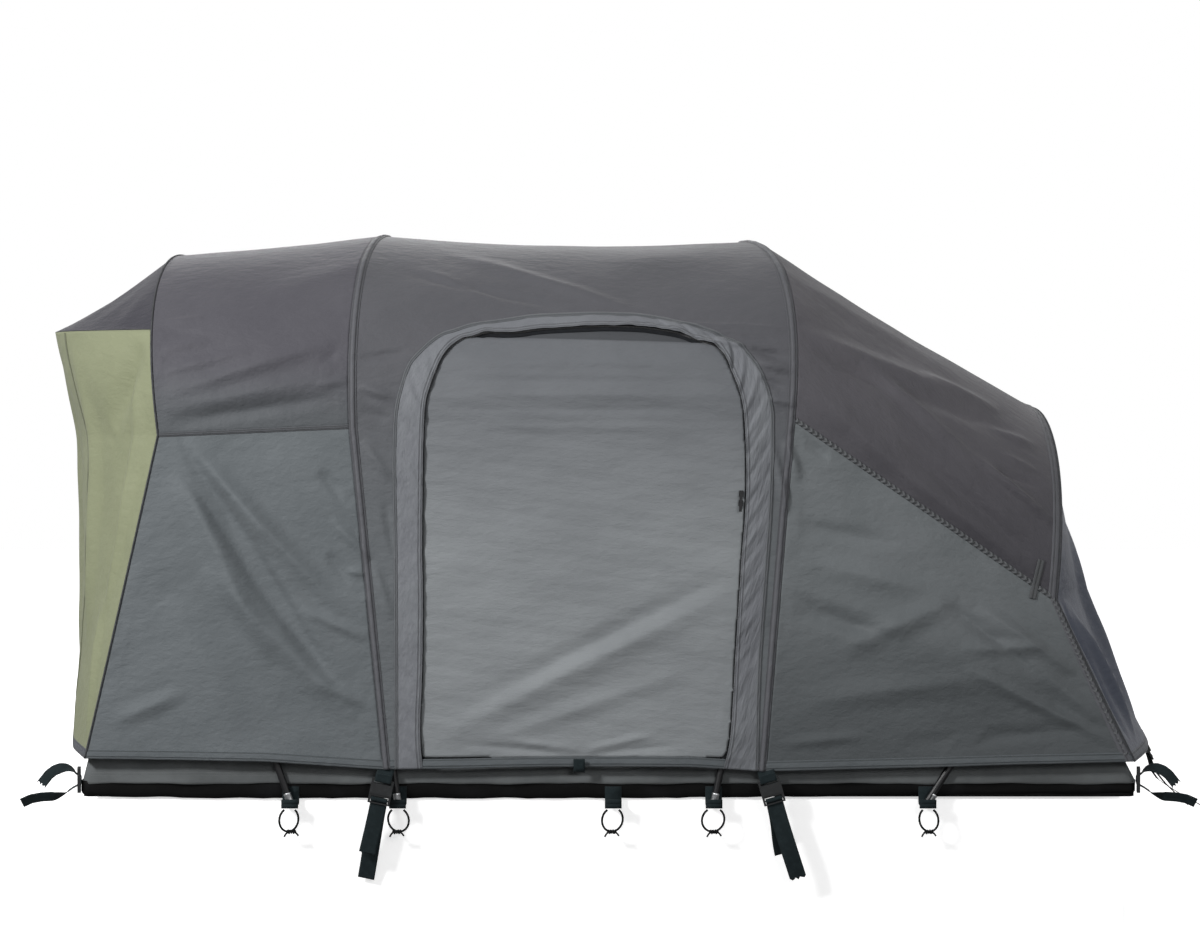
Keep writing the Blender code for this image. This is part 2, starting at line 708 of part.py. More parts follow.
def add_sliders():
    deep = SLIDER_SIZE[1]
    pull_deep, pull_tall = PULL_SIZE[1:]
    for name, height in zip(("upper", "lower"), SLIDER_HEIGHTS):
        place = track_frame(height)
        centre = (0, -(GAP + deep / 2), 0)
        box_object(f"zip_slider_{name}", SLIDER_SIZE, centre, ZIP_FINISH, bevel=0.001, place=place)
        axis = Vector((0, -(GAP + deep + PULL_GAP + pull_deep / 2), 0))
        hang = (0, 0, -(pull_tall - pull_deep) / 2)
        place = place @ Matrix.Translation(axis)
        box_object(f"zip_pull_{name}", PULL_SIZE, hang, ZIP_FINISH, place=place)


def add_hem_tab():
    """The webbing tab at the middle of the door's sill."""
    deep, tall = HEM_TAB_SIZE[1:]
    centre = (HEM_TAB_X, -FLY.half_width - GAP - deep / 2, HEM_TAB_TOP - tall / 2)
    box_object("hem_tab", HEM_TAB_SIZE, centre, WEBBING)


# Inner tent: one shell of walls, roof and end walls that stands on the tub's rim, with a door


def inner_line(hoop, t):
    """An end line of the inner tent: it starts over the tub's rim and leans in with the end hoop."""
    outward = -1 if hoop is HEAD_HOOP else 1
    foot = dict(hoop, hem=outward * (BASE_LENGTH / 2 - TUB_WALL / 2 - TUB_CORNER))
    for key in ("shoulder", "crown", "ridge"):
        foot[key] = hoop[key] - outward * END_HOOP_SETBACK
    return hoop_point(foot, INNER, t)


def add_inner_tent():
    shape = bmesh.new()
    rows = [*between(0.0, SHOULDER, 4)[:-1], *between(SHOULDER, 1.0, CROWN_ROWS)]
    around = [*rows, *(2 - t for t in reversed(rows[:-1]))]
    lines = [[inner_line(HEAD_HOOP, t) for t in around]]
    for bay in range(3):
        for u in between(0.0, 1.0, 3)[1:]:
            lines.append([bay_point(bay, INNER, u, t) for t in around])
    lines[-1] = [inner_line(FOOT_HOOP, t) for t in around]
    loops = [[shape.verts.new(point) for point in line] for line in lines]
    for left, right in zip(loops, loops[1:]):
        for row in range(len(around) - 1):
            shape.faces.new((left[row], right[row], right[row + 1], left[row + 1]))
    for line, outward in ((lines[0], -1), (lines[-1], 1)):
        spread = (1.0, 0.985, 0.955, 0.6, 0.3, 0.0)
        spread = [*spread, *(-s for s in reversed(spread[:-1]))]
        grid = []
        for row, t in enumerate(rows):
            edge = line[row]
            points = []
            for s in spread:
                near = min((1 - abs(s)) * HALF_WIDTH / TUB_CORNER, 1.0)
                out = TUB_CORNER * math.sqrt(1 - (1 - near) ** 2) * (1 - t)
                points.append(shape.verts.new((edge.x + outward * out, edge.y * s, edge.z)))
            grid.append(points)
        for low, high in zip(grid, grid[1:]):
            for column in range(len(spread) - 1):
                shape.faces.new((low[column], low[column + 1], high[column + 1], high[column]))
    bmesh.ops.remove_doubles(shape, verts=shape.verts, dist=0.0001)
    bmesh.ops.recalc_face_normals(shape, faces=shape.faces)
    tent = add_object("inner_tent", mesh_from(shape, "inner_tent", smooth=True), INNER_CLOTH)
    cloth = tent.modifiers.new("Cloth", "SOLIDIFY")
    cloth.thickness = INNER_THICKNESS
    cloth.offset = -1
    cloth.use_even_offset = True
    boolean(tent, inner_door_prism("cut_inner", 0.0), "DIFFERENCE")


def inner_door_prism(name, grow):
    outline = arch_outline(
        grow,
        INNER_DOOR_SILL - grow,
        INNER_DOOR_LEFT,
        INNER_DOOR_RIGHT,
        INNER_DOOR_RIGHT,
        INNER_DOOR_TOP,
        0.0,
        INNER_DOOR_CORNER,
    )
    return prism(name, [*outline[:-2], outline[-1]], -BASE_WIDTH, -GAP)


def add_inner_door():
    edge = INNER_DOOR_LEFT + INNER_DOOR_GAP
    low = wall_spot(1, edge, INNER_DOOR_SILL, INNER)
    high = wall_spot(1, edge, INNER_DOOR_TOP, INNER)
    axis = bpy.data.objects.new("inner_door_hinge", None)
    bpy.context.scene.collection.objects.link(axis)
    axis.location = low + Vector((0, INNER_THICKNESS + GAP, 0))
    axis.rotation_euler = (-math.atan2(high.y - low.y, high.z - low.z), 0, 0)
    rows = between(0.0, SHOULDER, 4)

    def place(u, t):
        return bay_point(1, INNER, u, t)

    door = panel(
        "inner_door", between(0.0, 1.0, 4), rows, place, INNER_CLOTH, thickness=INNER_THICKNESS
    )
    door.parent = axis
    bpy.context.view_layer.update()
    door.matrix_parent_inverse = axis.matrix_world.inverted()
    boolean(door, inner_door_prism("keep_inner_door", -INNER_DOOR_GAP), "INTERSECT")


# Cord loops: each hangs from the lip of its tab


def loop_line(x, side):
    turn = math.asin(LOOP_MOUTH / 2 / LOOP_RADIUS)
    top = TAB_LIP_BOTTOM - GAP - CORD_DIAMETER / 2 * math.sin(turn)
    centre = Vector((x, side * (TAB_FACE - TAB_THICKNESS / 2), top - LOOP_RADIUS * math.cos(turn)))
    spots = []
    for angle in between(turn, 2 * math.pi - turn, LOOP_STEPS):
        spots.append(centre + LOOP_RADIUS * Vector((math.sin(angle), 0, math.cos(angle))))
    return spots


def add_loops():
    for number, x in enumerate(TAB_XS):
        for side_name, side in SIDES:
            name = f"cord_loop_{side_name}_{number + 1}"
            tube(name, loop_line(x, side), CORD_DIAMETER / 2, CORD_FINISH)


# Straps: each hangs from the hem by webbing that folds round the socket's bar. The plug clicks into the
# socket, and the loose strap is threaded through the plug's ladder.


def cut_block(name, blocks, cuts, finish, place):
    """A solid of joined blocks with box-shaped cuts: each is (size, centre)."""
    made = box_object(name, *blocks[0], finish, place=place)
    for number, (size, centre) in enumerate(blocks[1:]):
        extra = helper(box_object(f"{name}_add_{number}", size, centre, finish, place=place))
        boolean(made, extra, "UNION")
    for number, (size, centre) in enumerate(cuts):
        cutter = helper(box_object(f"{name}_cut_{number}", size, centre, finish, place=place))
        boolean(made, cutter, "DIFFERENCE")
    return made


def add_socket(name, place):
    bar_thick, bar_high = SOCKET_BAR
    pocket_wide, pocket_thick, pocket_deep = POCKET
    window_thick, window_high = SOCKET_WINDOW
    top = -SOCKET_BAR_DEPTH
    body_top = top - bar_high - SOCKET_SLOT
    bottom = body_top - SOCKET_LENGTH
    height = top - bottom
    side = (BUCKLE_THICKNESS - bar_thick) / 2
    spare = BUCKLE_THICKNESS
    cuts = [
        ((WEB_WIDTH + 0.002, 2 * spare, SOCKET_SLOT), (0, 0, body_top + SOCKET_SLOT / 2)),
        ((pocket_wide, pocket_thick, 2 * pocket_deep), (0, 0, bottom)),
        (
            (2 * BUCKLE_WIDTH, window_thick, window_high),
            (0, 0, bottom + pocket_deep - window_high / 2 - BUCKLE_THICKNESS / 6),
        ),
    ]
    for way in (-1, 1):
        recess = (2 * BUCKLE_WIDTH, 2 * side, 2 * (bar_high + SOCKET_SLOT))
        cuts.append((recess, (0, way * BUCKLE_THICKNESS / 2, top)))
    size = (BUCKLE_WIDTH, BUCKLE_THICKNESS, height)
    made = cut_block(name, [(size, (0, 0, top - height / 2))], cuts, BUCKLE_PLASTIC, place)
    return made, bottom


def add_plug(name, top, place):
    length = PLUG_HEAD + 2 * PLUG_SLOT + 2 * PLUG_BAR
    blocks = [((BUCKLE_WIDTH, PLUG_BAR_THICKNESS, length), (0, 0, top - length / 2))]
    for way in (-1, 1):
        size = (PRONG_WIDTH, PRONG_THICKNESS, PRONG_LENGTH + PLUG_HEAD / 2)
        centre = (way * PRONG_SPREAD, 0, top + PRONG_LENGTH / 2 - PLUG_HEAD / 4)
        blocks.append((size, centre))
    slot = (WEB_WIDTH + 0.002, 2 * BUCKLE_THICKNESS, PLUG_SLOT)
    first = top - PLUG_HEAD - PLUG_SLOT / 2
    cuts = [(slot, (0, 0, first)), (slot, (0, 0, first - PLUG_SLOT - PLUG_BAR))]
    return cut_block(name, blocks, cuts, BUCKLE_PLASTIC, place)


def hanger_line(standoff, lean):
    """The webbing from behind the hem, round the socket's bar and a little way up again, as (y, z). The
    standoff is how far the strap hangs from the cloth's face, and lean the cloth's slope behind it."""
    bar_thick, bar_high = SOCKET_BAR
    half = WEB_THICKNESS / 2
    behind = standoff + FLY_THICKNESS + 2 * GAP + half
    back = bar_thick / 2 + 2 * GAP + half
    under = -SOCKET_BAR_DEPTH - bar_high - GAP - 2 * half
    return (
        (behind + lean * HEM_BAND, HEM_BAND),
        (behind - lean * WEB_DROP, -WEB_DROP),
        (back + STRAP_STANDOFF / 3, -SOCKET_BAR_DEPTH * 0.6),
        (back, -SOCKET_BAR_DEPTH),
        (back, under + half),
        (back - 2 * half, under - half / 2),
        (2 * half - back, under - half / 2),
        (-back, under + half),
        (-back, -SOCKET_BAR_DEPTH * 0.55),
    )


def ladder_line(top, inner_tail, outer_tail):
    """The loose strap from its ragged tail, up behind the plug, round the ladder's middle bar and down
    again, as (y, z)."""
    half = WEB_THICKNESS / 2
    face = PLUG_BAR_THICKNESS / 2 + GAP + half
    outer = face + WEB_THICKNESS + WEB_FOLD_GAP
    through = top - PLUG_HEAD - PLUG_SLOT / 2
    back_through = through - PLUG_SLOT - PLUG_BAR
    return (
        *outer_tail,
        (outer, back_through),
        (outer, through),
        (-face, through),
        (-face, back_through),
        (face, back_through),
        (face, back_through - PLUG_SLOT - PLUG_BAR),
        *inner_tail,
    )


def add_strap(name, place, tails, standoff=STRAP_STANDOFF, lean=WALL_SLOPE):
    across = Vector((WEB_WIDTH, 0, 0))
    line = [(0, y, z) for y, z in hanger_line(standoff, lean)]
    ribbon(f"strap_{name}_webbing", line, across, WEB_THICKNESS, WEBBING, place=place)
    _, bottom = add_socket(f"strap_{name}_socket", place)
    top = bottom - GAP
    add_plug(f"strap_{name}_plug", top, place)
    line = [(0, y, z) for y, z in ladder_line(top, *tails)]
    ribbon(f"strap_{name}_tail", line, across, WEB_THICKNESS, WEBBING, place=place)


def strap_place(x, y, height, tilt, turn=0):
    """A strap's frame: local X across the webbing, Y inwards and Z up, tilted in its own plane."""
    place = Matrix.Translation((x, y, height)) @ Matrix.Rotation(math.radians(turn), 4, "Z")
    return place @ Matrix.Rotation(math.radians(tilt), 4, "Y")


def add_straps():
    outer = -FLY.half_width - STRAP_STANDOFF
    loose = (
        ((0.004, -0.130), (0.006, -0.200)),
        ((0.036, -0.262), (0.026, -0.200), (0.012, -0.120)),
    )
    add_strap("left", strap_place(LEFT_STRAP_X, outer, HEM_HEIGHT, LEFT_STRAP_TILT), loose)
    open_fan = (
        ((0.000, -0.140), (-0.004, -0.205), (0.004, -0.262)),
        ((0.052, -0.212), (0.036, -0.175), (0.014, -0.125)),
    )
    add_strap("right", strap_place(RIGHT_STRAP_X, outer, HEM_HEIGHT, RIGHT_STRAP_TILT), open_fan)
    hem_x = FOOT_HOOP["hem"] + FOOT_BULGE_HEM
    run = hem_x - FOOT_HOOP["shoulder"] - FOOT_BULGE_SHOULDER
    tilt = math.radians(END_STRAP_TILT)
    lean = math.tan(math.atan2(run, FOOT_HOOP["low"] - HEM_HEIGHT) - tilt)
    end = Matrix.Translation((hem_x + STRAP_STANDOFF, 0, HEM_HEIGHT))
    end = end @ Matrix.Rotation(math.pi / 2, 4, "Z") @ Matrix.Rotation(-tilt, 4, "X")
    taut = (
        ((0.006, -0.130), (-0.026, -0.225)),
        ((-0.060, -0.250), (-0.010, -0.175), (0.016, -0.125)),
    )
    add_strap("end", end, taut, STRAP_STANDOFF * math.cos(tilt) + 3 * GAP, lean)
    hanger = hanger_line(STRAP_STANDOFF, WALL_SLOPE)[:3]
    line = [(0, y, z) for y, z in (*hanger, (hanger[-1][0], -FAR_STRAP_LENGTH))]
    for name, x in (("left", LEFT_STRAP_X), ("right", RIGHT_STRAP_X)):
        far = strap_place(x, -outer, HEM_HEIGHT, 0, 180)
        across = Vector((WEB_WIDTH, 0, 0))
        ribbon(f"strap_far_{name}", line, across, WEB_THICKNESS, WEBBING, place=far)


# Corner straps: a ladder lock at each corner of the tub, with one length of webbing threaded through it


def add_corners():
    wide, deep, tall = CORNER_LOCK
    half = WEB_THICKNESS / 2
    face = deep / 2 + GAP + half
    slot = (tall - 3 * CORNER_LOCK_BAR) / 2
    upper = tall / 2 - CORNER_LOCK_BAR - slot / 2
    across = Vector((CORNER_WEB_WIDTH, 0, 0))
    line = [
        (0, -0.128, -0.050),
        (0, -0.100, -0.038),
        (0, -0.040, -0.036),
        (0, -face, -upper),
        (0, face, -upper),
        (0, face, upper),
        (0, -face, upper),
        (0, -0.014, 0.024),
        (0, -0.034, 0.030),
        (0, -0.062, 0.020),
        (0, -0.084, -0.008),
    ]
    for side_name, side in SIDES:
        for end_name, end in (("head", -1), ("foot", 1)):
            arc = Vector((BASE_LENGTH / 2 - TUB_CORNER, HALF_WIDTH - TUB_CORNER, TUB_HEIGHT))
            arc = Vector((end * arc.x, side * arc.y, arc.z))
            aim = math.degrees(math.atan2(side, end))
            turn = aim + 90 - CORNER_TURN * side * end
            out = Vector((math.cos(math.radians(turn - 90)), math.sin(math.radians(turn - 90)), 0))
            place = Matrix.Translation(arc + out * (TUB_CORNER + face + half + GAP))
            place = place @ Matrix.Rotation(math.radians(turn), 4, "Z")
            hole = (CORNER_WEB_WIDTH + 0.002, 2 * deep, slot)
            cuts = [(hole, (0, 0, upper)), (hole, (0, 0, -upper))]
            name = f"corner_lock_{end_name}_{side_name}"
            cut_block(name, [((wide, deep, tall), (0, 0, 0))], cuts, BUCKLE_PLASTIC, place)
            name = f"corner_strap_{end_name}_{side_name}"
            ribbon(name, line, across, WEB_THICKNESS, WEBBING, place=place)


add_tub()
add_poles()
add_roof_and_walls()
add_ends()
add_door_bay()
add_sliders()
add_hem_tab()
add_inner_tent()
add_inner_door()
add_loops()
add_straps()
add_corners()
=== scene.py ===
import json
import math

import bmesh
import bpy
import numpy as np
from mathutils import Matrix, Vector, kdtree

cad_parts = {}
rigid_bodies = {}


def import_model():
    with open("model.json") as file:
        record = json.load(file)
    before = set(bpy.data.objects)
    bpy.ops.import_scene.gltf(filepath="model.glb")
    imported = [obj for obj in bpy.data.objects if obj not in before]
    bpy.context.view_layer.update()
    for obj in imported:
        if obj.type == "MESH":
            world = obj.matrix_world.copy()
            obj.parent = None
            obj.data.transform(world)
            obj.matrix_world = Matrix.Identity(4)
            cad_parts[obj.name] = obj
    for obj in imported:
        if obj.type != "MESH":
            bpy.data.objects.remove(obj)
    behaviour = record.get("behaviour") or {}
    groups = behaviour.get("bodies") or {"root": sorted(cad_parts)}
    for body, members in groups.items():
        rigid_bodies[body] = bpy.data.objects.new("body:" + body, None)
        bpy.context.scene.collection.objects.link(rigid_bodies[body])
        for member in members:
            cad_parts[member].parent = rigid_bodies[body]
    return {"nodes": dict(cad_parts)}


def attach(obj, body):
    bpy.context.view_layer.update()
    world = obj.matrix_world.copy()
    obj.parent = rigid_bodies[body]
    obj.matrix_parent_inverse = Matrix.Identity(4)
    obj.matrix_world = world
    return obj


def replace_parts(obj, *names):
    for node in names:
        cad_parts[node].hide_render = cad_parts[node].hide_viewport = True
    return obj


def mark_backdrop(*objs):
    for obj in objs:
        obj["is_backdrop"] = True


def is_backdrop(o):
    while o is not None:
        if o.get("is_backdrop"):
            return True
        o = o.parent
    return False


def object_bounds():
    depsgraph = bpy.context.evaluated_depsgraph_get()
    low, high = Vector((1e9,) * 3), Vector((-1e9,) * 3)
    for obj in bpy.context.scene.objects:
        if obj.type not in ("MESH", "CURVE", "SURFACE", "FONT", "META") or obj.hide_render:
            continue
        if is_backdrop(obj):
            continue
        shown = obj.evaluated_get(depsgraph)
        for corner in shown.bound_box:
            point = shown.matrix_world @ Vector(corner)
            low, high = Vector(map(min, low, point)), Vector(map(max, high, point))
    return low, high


for left in list(bpy.data.objects):
    bpy.data.objects.remove(left)
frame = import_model()
cad_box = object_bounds()


# Camera: level with the upper half of the door, six metres in front of the near wall, tipped
# slightly down.
TIPPED_DOWN = 1.7

eye = bpy.data.objects.new("camera", bpy.data.cameras.new("camera"))
eye.data.lens = 79.92
eye.data.sensor_width = 36.0
eye.location = (-0.02, -6.676, 0.94)
eye.rotation_euler = (math.radians(90 - TIPPED_DOWN), 0, 0)
bpy.context.scene.collection.objects.link(eye)
bpy.context.scene.camera = eye
bpy.context.scene.view_settings.view_transform = "Standard"


# Studio: a pale plinth hardly smaller than the tent's base, so that its straps hang free, on a floor.
# Both show white to the camera wherever the light reaches them, and keep the tent's shadow.
class Field:
    """A number or colour that varies over a surface. Python's operators add the Math nodes."""

    def __init__(self, finish, output):
        self.finish = finish
        self.output = output

    def math(self, operation, first, second=0.0):
        return self.finish.node("ShaderNodeMath", {"operation": operation}, (first, second))

    def __add__(self, other):
        return self.math("ADD", self, other)

    __radd__ = __add__

    def __sub__(self, other):
        return self.math("SUBTRACT", self, other)

    def __rsub__(self, other):
        return self.math("SUBTRACT", other, self)

    def __mul__(self, other):
        return self.math("MULTIPLY", self, other)

    __rmul__ = __mul__

    def __truediv__(self, other):
        return self.math("DIVIDE", self, other)

    def __abs__(self):
        return self.math("ABSOLUTE", self)

    def below(self, limit):
        return self.math("LESS_THAN", self, limit)

    def within(self, other):
        return self.math("MINIMUM", self, other)

    def either(self, other):
        return self.math("MAXIMUM", self, other)

    def sine(self):
        return self.math("SINE", self)

    def repeat(self, length):
        """How far along its own repeat each place is, from 0 to 1."""
        return self.math("FRACT", self / length)

    def ramp(self, low, high):
        """0 up to low and 1 from high, with a soft step between them."""
        settings = {"interpolation_type": "SMOOTHSTEP"}
        return self.finish.node("ShaderNodeMapRange", settings, {"Value": self, 1: low, 2: high})


class Finish:
    """One procedural material: a Principled shader and the nodes that vary it."""

    def __init__(self, name):
        self.material = bpy.data.materials.new(name)
        self.material.use_nodes = True
        self.nodes = self.material.node_tree.nodes
        self.links = self.material.node_tree.links
        self.shader = Field(self, self.nodes["Principled BSDF"].outputs[0])

    def node(self, kind, settings=None, inputs=(), output=0):
        """Adds a node: its settings first, then the values and links of its inputs."""
        made = self.nodes.new(kind)
        for key, value in (settings or {}).items():
            setattr(made, key, value)
        pairs = inputs.items() if isinstance(inputs, dict) else enumerate(inputs)
        for key, value in pairs:
            self.put(made.inputs[key], value)
        return Field(self, made.outputs[output])

    def put(self, socket, value):
        if isinstance(value, Field):
            self.links.new(value.output, socket)
        elif socket.type == "RGBA":
            socket.default_value = (*value, 1.0)
        else:
            socket.default_value = value

    def mix(self, part, low, high):
        """A colour between two, by a part from 0 to 1."""
        inputs = {"Factor": part, 6: low, 7: high}
        return self.node("ShaderNodeMix", {"data_type": "RGBA"}, inputs, output=2)

    def noise(self, where, scale, detail=3.0, roughness=0.5):
        inputs = {"Vector": where, "Scale": scale, "Detail": detail, "Roughness": roughness}
        return self.node("ShaderNodeTexNoise", None, inputs)

    def stretch(self, where, scale, turn=0.0):
        """The same places, scaled by three numbers and turned in their own plane."""
        inputs = {"Vector": where, "Scale": scale, "Rotation": (0, 0, math.radians(turn))}
        return self.node("ShaderNodeMapping", None, inputs)

    def bump(self, height, distance):
        """A normal from a height in metres times distance."""
        return self.node("ShaderNodeBump", None, {"Height": height, "Distance": distance})

    def places(self):
        """The piece's own coordinates, in metres."""
        return self.node("ShaderNodeTexCoord", output=3)

    def place_on(self, axis):
        """How far along X, Y or Z each place is, in metres."""
        return self.node("ShaderNodeSeparateXYZ", None, (self.places(),), axis)

    def cloth_map(self):
        """How far across and along the cut cloth each place is, in metres, and both together."""
        sheet = self.node("ShaderNodeUVMap", {"uv_map": "cloth"})
        parts = self.node("ShaderNodeSeparateXYZ", None, (sheet,))
        across, along = (Field(self, part) for part in parts.output.node.outputs[:2])
        return across, along, sheet

    def set(self, **values):
        for name, value in values.items():
            words = name.replace("_", " ").title().replace("Ior", "IOR")
            self.put(self.shader.output.node.inputs[words], value)
        return self.material


def add_mesh(name, shape, material, smooth=True):
    """An object at the origin from a finished bmesh."""
    data = bpy.data.meshes.new(name)
    shape.to_mesh(data)
    shape.free()
    data.materials.append(material)
    if smooth:
        data.shade_smooth()
    made = bpy.data.objects.new(name, data)
    bpy.context.scene.collection.objects.link(made)
    return made


PLINTH = (2.34, 1.28, 0.34)
PLINTH_EDGE = 0.004
FLOOR_REACH = 14
WHITE_FROM = (1.24, 1.40)  # how far from the middle the paper turns white
LAMPS_AIM = Vector((0, 0, 0.5))

paper = Finish("studio paper")
where = paper.places()
grain = paper.noise(where, 40.0)
away = paper.node("ShaderNodeVectorMath", {"operation": "LENGTH"}, (where,), "Value")
paper.set(
    base_color=paper.mix(grain, (0.78, 0.78, 0.78), (0.82, 0.82, 0.82)),
    roughness=0.9,
    emission_color=paper.mix(away.ramp(*WHITE_FROM), (0.60, 0.60, 0.60), (1.0, 1.0, 1.0)),
    emission_strength=1.0,
)
unlit = paper.node("ShaderNodeBsdfDiffuse", None, {"Color": (0.30, 0.30, 0.30)})
to_camera = paper.node("ShaderNodeLightPath", output=0)
lit = paper.node("ShaderNodeMixShader", None, (to_camera, unlit, paper.shader))
paper.links.new(lit.output, paper.nodes["Material Output"].inputs["Surface"])

shape = bmesh.new()
place = Matrix.Translation((0, 0, -PLINTH[2] / 2)) @ Matrix.Diagonal((*PLINTH, 1))
bmesh.ops.create_cube(shape, size=1, matrix=place)
bmesh.ops.bevel(
    shape, geom=shape.edges, offset=PLINTH_EDGE, affect="EDGES", segments=3, profile=0.5, material=-1
)
plinth = add_mesh("studio_plinth", shape, paper.material, smooth=False)
shape = bmesh.new()
place = Matrix.Translation((0, 0, -PLINTH[2]))
bmesh.ops.create_grid(shape, x_segments=4, y_segments=4, size=FLOOR_REACH, matrix=place)
floor = add_mesh("studio_floor", shape, paper.material, smooth=False)
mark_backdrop(plinth, floor)

world = bpy.data.worlds.new("studio air")
bpy.context.scene.world = world
world.use_nodes = True
air = world.node_tree
dim, white = air.nodes["Background"], air.nodes.new("ShaderNodeBackground")
for background, strength in ((dim, 0.12), (white, 1.0)):
    background.inputs["Color"].default_value = (1, 1, 1, 1)
    background.inputs["Strength"].default_value = strength
rays = air.nodes.new("ShaderNodeLightPath")
shown = rays.outputs["Is Camera Ray"]
for other in ("Is Glossy Ray", "Is Transmission Ray"):
    most = air.nodes.new("ShaderNodeMath")
    most.operation = "MAXIMUM"
    air.links.new(shown, most.inputs[0])
    air.links.new(rays.outputs[other], most.inputs[1])
    shown = most.outputs[0]
either = air.nodes.new("ShaderNodeMixShader")
air.links.new(shown, either.inputs[0])
air.links.new(dim.outputs[0], either.inputs[1])
air.links.new(white.outputs[0], either.inputs[2])
air.links.new(either.outputs[0], air.nodes["World Output"].inputs["Surface"])

for name, spot, size, power in (
    ("lamp_key", (-3.3, -3.3, 2.9), 0.8, 200),
    ("lamp_front", (2.0, -5.4, 2.4), 1.8, 66),
    ("lamp_above", (0.6, 0.4, 4.6), 3.4, 12),
    ("lamp_side", (4.8, -1.6, 2.4), 2.0, 18),
    ("lamp_back", (-1.0, 5.2, 3.2), 3.0, 80),
):
    lamp = bpy.data.objects.new(name, bpy.data.lights.new(name, "AREA"))
    lamp.data.shape = "DISK"
    lamp.data.size = size
    lamp.data.energy = power
    lamp.location = spot
    lamp.rotation_euler = (LAMPS_AIM - Vector(spot)).to_track_quat("-Z", "Y").to_euler()
    bpy.context.scene.collection.objects.link(lamp)


# Tub floor: a shallow tray of thick coated cloth on a stiff floor, with a rounded lower edge. Its
# walls are slack, and its underside is drawn up a little towards both ends.
BASE_LENGTH = 2.40
BASE_WIDTH = 1.30
TUB_HEIGHT = 0.043
TUB_WALL = 0.004
TUB_FLOOR = 0.006
TUB_CORNER = 0.020
TUB_LIFT_FOOT = 0.011
TUB_LIFT_HEAD = 0.006
TUB_SHARP = 50  # degrees past which an edge shows as crisp


def between(start, end, steps):
    return np.linspace(start, end, steps + 1)


def length_of(points):
    """How far along its line each point is, for lines of points."""
    steps = np.linalg.norm(np.diff(points, axis=-2), axis=-1)
    start = np.zeros((*steps.shape[:-1], 1))
    return np.concatenate([start, np.cumsum(steps, axis=-1)], axis=-1)


def lay_cloth(shape, points, cut=None):
    """Adds a grid laid on points, an array of rows by columns by 3. Its map is in metres of the cut
    cloth, which is cut's points where folds have shifted the cloth from them."""
    cut = points if cut is None else cut
    rows, columns = points.shape[0] - 1, points.shape[1] - 1
    across = length_of(cut)
    upward = length_of(np.swapaxes(cut, 0, 1)).T
    sheet = shape.loops.layers.uv.get("cloth") or shape.loops.layers.uv.new("cloth")
    made = bmesh.ops.create_grid(shape, x_segments=columns, y_segments=rows, size=0.5)
    spots, faces = {}, set()
    for vert in made["verts"]:
        row = round((vert.co.y + 0.5) * rows)
        column = round((vert.co.x + 0.5) * columns)
        vert.co = points[row, column]
        spots[vert] = (float(across[row, column]), float(upward[row, column]))
        faces.update(vert.link_faces)
    for face in faces:
        for loop in face.loops:
            loop[sheet].uv = spots[loop.vert]


def cloth_shape(points, cut=None):
    shape = bmesh.new()
    lay_cloth(shape, points, cut)
    return shape


def wave(values, *terms):
    """A sum of sines, each of a height, a length and a shift."""
    return sum(height * np.sin(2 * math.pi * values / span + shift) for height, span, shift in terms)


tub_finish = Finish("coated tub cloth")
broad = tub_finish.noise(tub_finish.places(), 7.0, 4.0, 0.6)
fine = tub_finish.noise(tub_finish.places(), 900.0, 2.0)
tub_finish.set(
    base_color=tub_finish.mix(broad.ramp(0.45, 0.75), (0.003, 0.003, 0.003), (0.008, 0.008, 0.009)),
    roughness=0.50 + 0.12 * fine,
    specular_ior_level=0.08,
    normal=tub_finish.bump(broad * 0.004 + fine * 0.00006, 1.0),
)

# The outline seen from above: points, and which way is out at each
spots = []
TUB_HALF = np.array((BASE_LENGTH / 2 - TUB_CORNER, BASE_WIDTH / 2 - TUB_CORNER))
ways = np.array(((1, -1), (1, 1), (-1, 1), (-1, -1)))
for corner in range(4):
    start, end = TUB_HALF * ways[corner], TUB_HALF * ways[(corner + 1) % 4]
    first = math.radians(90 * corner - 90)
    for turn in between(first, first + math.pi / 2, 6):
        spots.append((*start, math.cos(turn), math.sin(turn)))
    for part in between(0, 1, 90)[1:-1]:
        spots.append((*(start + (end - start) * part), math.cos(turn), math.sin(turn)))
spots = np.array(spots)
middle, out = spots[:, :2], spots[:, 2:]
slack = wave(middle.sum(axis=1), (0.0012, 0.37, 0.4), (0.0008, 0.15, 1.9), (0.0005, 0.071, 0.7))
lift = TUB_LIFT_FOOT * np.clip((middle[:, 0] - 0.1) / 1.1, 0, 1) ** 0.8
lift += TUB_LIFT_HEAD * np.clip((-middle[:, 0] - 0.9) / 0.3, 0, 1)
lift += np.abs(wave(middle[:, 0], (0.002, 0.31, 0.2), (0.001, 0.12, 1.0)))
